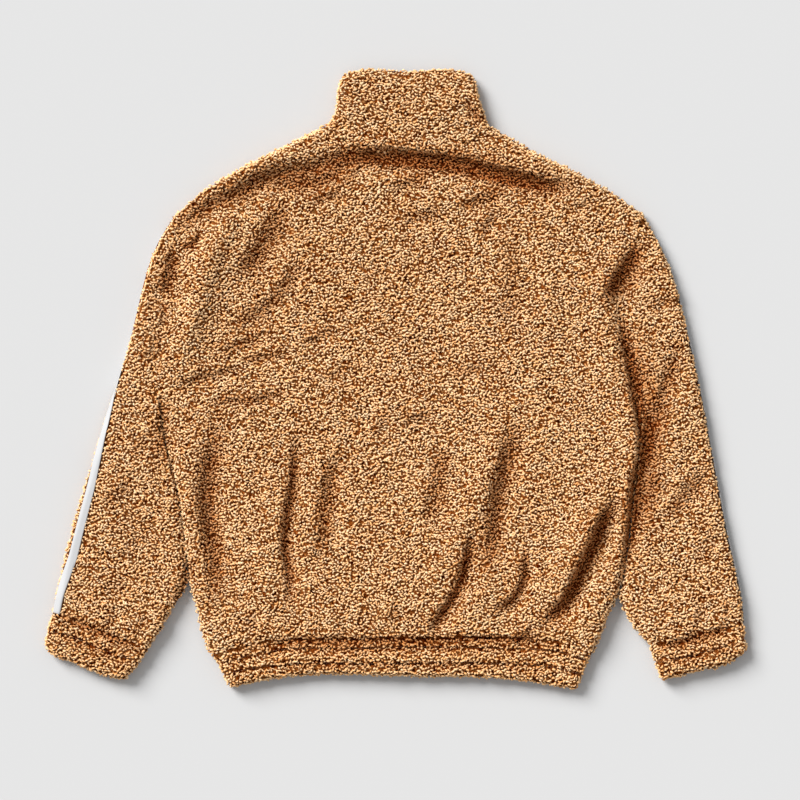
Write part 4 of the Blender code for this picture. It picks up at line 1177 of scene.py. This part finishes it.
# A tooth in plan, in millimetres: its foot on the tape, its neck and its rounded head.
TOOTH_OUTLINE = ((-2.9, -0.5), (-0.4, -0.5), (-0.1, -0.34), (0.7, -0.62), (1.1, -0.3),
                 (1.1, 0.3), (0.7, 0.62), (-0.1, 0.34), (-0.4, 0.5), (-2.9, 0.5))
TOOTH_HALF = 0.8 * MM
WORN_WIDTH = 0.16 * MM


def tape_object(way, material):
    """One of the zip's two tapes."""
    outline = list(TAPE_SECTION) + [(x, -z) for x, z in reversed(TAPE_SECTION)]
    points, faces, count = [], [], len(outline)
    for y in np.linspace(*ZIP_ENDS, TAPE_STEPS + 1):
        points += [(ZIP_X + way * x, y, ZIP_HEIGHT + z) for x, z in outline]
    for step in range(TAPE_STEPS):
        for i in range(count):
            j, low = (i + 1) % count, step * count
            faces.append((low + i, low + j, low + count + j, low + count + i))
    faces += [tuple(range(count - 1, -1, -1)), tuple(range(TAPE_STEPS * count, (TAPE_STEPS + 1) * count))]
    mesh = bpy.data.meshes.new("tape")
    mesh.from_pydata(points, [], faces if way > 0 else [face[::-1] for face in faces])
    return add_object("zip_tape_" + ("right" if way > 0 else "left"), mesh, material)


def teeth_object(way, pitch, material):
    """The teeth of one side, each halfway between two of the other side's."""
    outline = np.array(TOOTH_OUTLINE) * MM
    start = ZIP_ENDS[0] + (1.0 + (0.5 if way > 0 else 0)) * pitch
    stops = np.arange(start, ZIP_ENDS[1] - pitch / 2, pitch)
    count, points, faces = len(outline), [], []
    for y in stops:
        low = len(points)
        for z in (-TOOTH_HALF, TOOTH_HALF):
            points += [(ZIP_X - way * x, y + along, ZIP_HEIGHT + z) for x, along in outline]
        faces += [(low + i, low + (i + 1) % count, low + count + (i + 1) % count, low + count + i)
                  for i in range(count)]
        faces += [tuple(range(low + count - 1, low - 1, -1)), tuple(range(low + count, low + 2 * count))]
    mesh = bpy.data.meshes.new("teeth")
    mesh.from_pydata(points, [], faces if way < 0 else [face[::-1] for face in faces])
    return add_object("zip_teeth_" + ("right" if way > 0 else "left"), mesh, material)


class JACKET_OT_zip(bpy.types.Operator):
    """Make the zip's tapes and teeth, and finish its slider and pull tab"""

    bl_idname = "jacket.zip"
    bl_label = "Zip"

    def execute(self, context):
        trim = context.scene.jacket_trim
        tape = woven_material("zip_tape", trim.tape_colour, TAPE_RIBS, 0.8)
        moulded = hard_material("zip_teeth", trim.tooth_colour, 0.0, marks=700, least=0.32, most=0.55)
        for way in (-1, 1):
            for piece in (tape_object(way, tape), teeth_object(way, trim.tooth_pitch, moulded)):
                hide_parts("zip_chain")
                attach(piece, BODY)
        metal = hard_material("zip_metal", trim.metal_colour, 1.0, marks=2500, least=0.25, most=0.5)
        for node in ("zip_slider", "zip_pull"):
            solid = FRAME["nodes"][node]
            solid.data.materials.clear()
            solid.data.materials.append(metal)
            worn = solid.modifiers.new("Worn edges", "BEVEL")
            worn.width = WORN_WIDTH
            worn.segments = 2
        return {"FINISHED"}


# The camera looks straight down, a little off the middle as in the photograph.
CAMERA_AIM = Vector((4.4 * MM, -24.3 * MM, 0.0))
SENSOR = 36.0
FAR_CLIP = 100.0
FLOOR_CORNERS = [(-20, -20, 0), (20, -20, 0), (20, 20, 0), (-20, 20, 0)]


class JACKET_OT_stage(bpy.types.Operator):
    """Make the floor, the lights and the camera"""

    bl_idname = "jacket.stage"
    bl_label = "Stage"

    def execute(self, context):
        scene, stage = context.scene, context.scene.jacket_stage
        material, tree, shader = new_material("floor")
        matt = {"Base Color": (*stage.floor_colour, 1), "Roughness": 0.9, "Specular IOR Level": 0.0}
        feed(tree, shader, matt)
        mesh = bpy.data.meshes.new("floor")
        mesh.from_pydata(FLOOR_CORNERS, [], [(0, 1, 2, 3)])
        floor = add_object("floor", mesh, material)

        sun = bpy.data.lights.new("key", "SUN")
        sun.energy = stage.key_strength
        sun.angle = stage.key_softness
        key = bpy.data.objects.new("key", sun)
        level = math.cos(stage.key_height)
        towards = Vector((
            level * math.cos(stage.key_turn), level * math.sin(stage.key_turn), math.sin(stage.key_height),
        ))
        key.rotation_euler = towards.to_track_quat("Z", "Y").to_euler()
        scene.collection.objects.link(key)

        world = bpy.data.worlds.new("fill")
        scene.world = world
        world.use_nodes = True
        background = world.node_tree.nodes["Background"]
        feed(world.node_tree, background, {"Color": (1, 1, 1, 1), "Strength": stage.fill_strength})
        scene.view_settings.view_transform = "Standard"

        data = bpy.data.cameras.new("camera")
        data.lens = stage.lens
        data.sensor_width = SENSOR
        data.clip_end = FAR_CLIP
        camera = bpy.data.objects.new("camera", data)
        camera.location = CAMERA_AIM + UP * (stage.view_width * stage.lens / SENSOR)
        scene.collection.objects.link(camera)
        scene.camera = camera
        return {"FINISHED"}


# ---------------------------------------------------------------- the add-on

class JACKET_PT_panel(bpy.types.Panel):
    """Lists the jacket's settings and steps."""

    bl_label = "Track jacket"
    bl_idname = "JACKET_PT_panel"
    bl_space_type = "VIEW_3D"
    bl_region_type = "UI"
    bl_category = "Jacket"

    def draw(self, context):
        for step in STEPS:
            self.layout.operator(step.bl_idname)
        for name in SETTINGS:
            box = self.layout.box()
            group = getattr(context.scene, name)
            for field in group.__annotations__:
                box.prop(group, field)


STEPS = (
    JACKET_OT_panels,
    JACKET_OT_bands,
    JACKET_OT_stripes,
    JACKET_OT_pile,
    JACKET_OT_stitches,
    JACKET_OT_zip,
    JACKET_OT_stage,
)
SETTINGS = {
    "jacket_fleece": JacketFleece,
    "jacket_trim": JacketTrim,
    "jacket_stage": JacketStage,
}


def register():
    """Register the settings, the steps and the panel."""
    for name, group in SETTINGS.items():
        bpy.utils.register_class(group)
        setattr(bpy.types.Scene, name, PointerProperty(type=group))
    for step in STEPS:
        bpy.utils.register_class(step)
    bpy.utils.register_class(JACKET_PT_panel)


def unregister():
    """Remove the panel, the steps and the settings again."""
    bpy.utils.unregister_class(JACKET_PT_panel)
    for step in reversed(STEPS):
        bpy.utils.unregister_class(step)
    for name, group in SETTINGS.items():
        delattr(bpy.types.Scene, name)
        bpy.utils.unregister_class(group)


def main():
    """Make the whole jacket and its stage."""
    register()
    bpy.ops.jacket.panels()
    bpy.ops.jacket.bands()
    bpy.ops.jacket.stripes()
    bpy.ops.jacket.pile()
    bpy.ops.jacket.stitches()
    bpy.ops.jacket.zip()
    bpy.ops.jacket.stage()


if __name__ == "__main__":
    main()
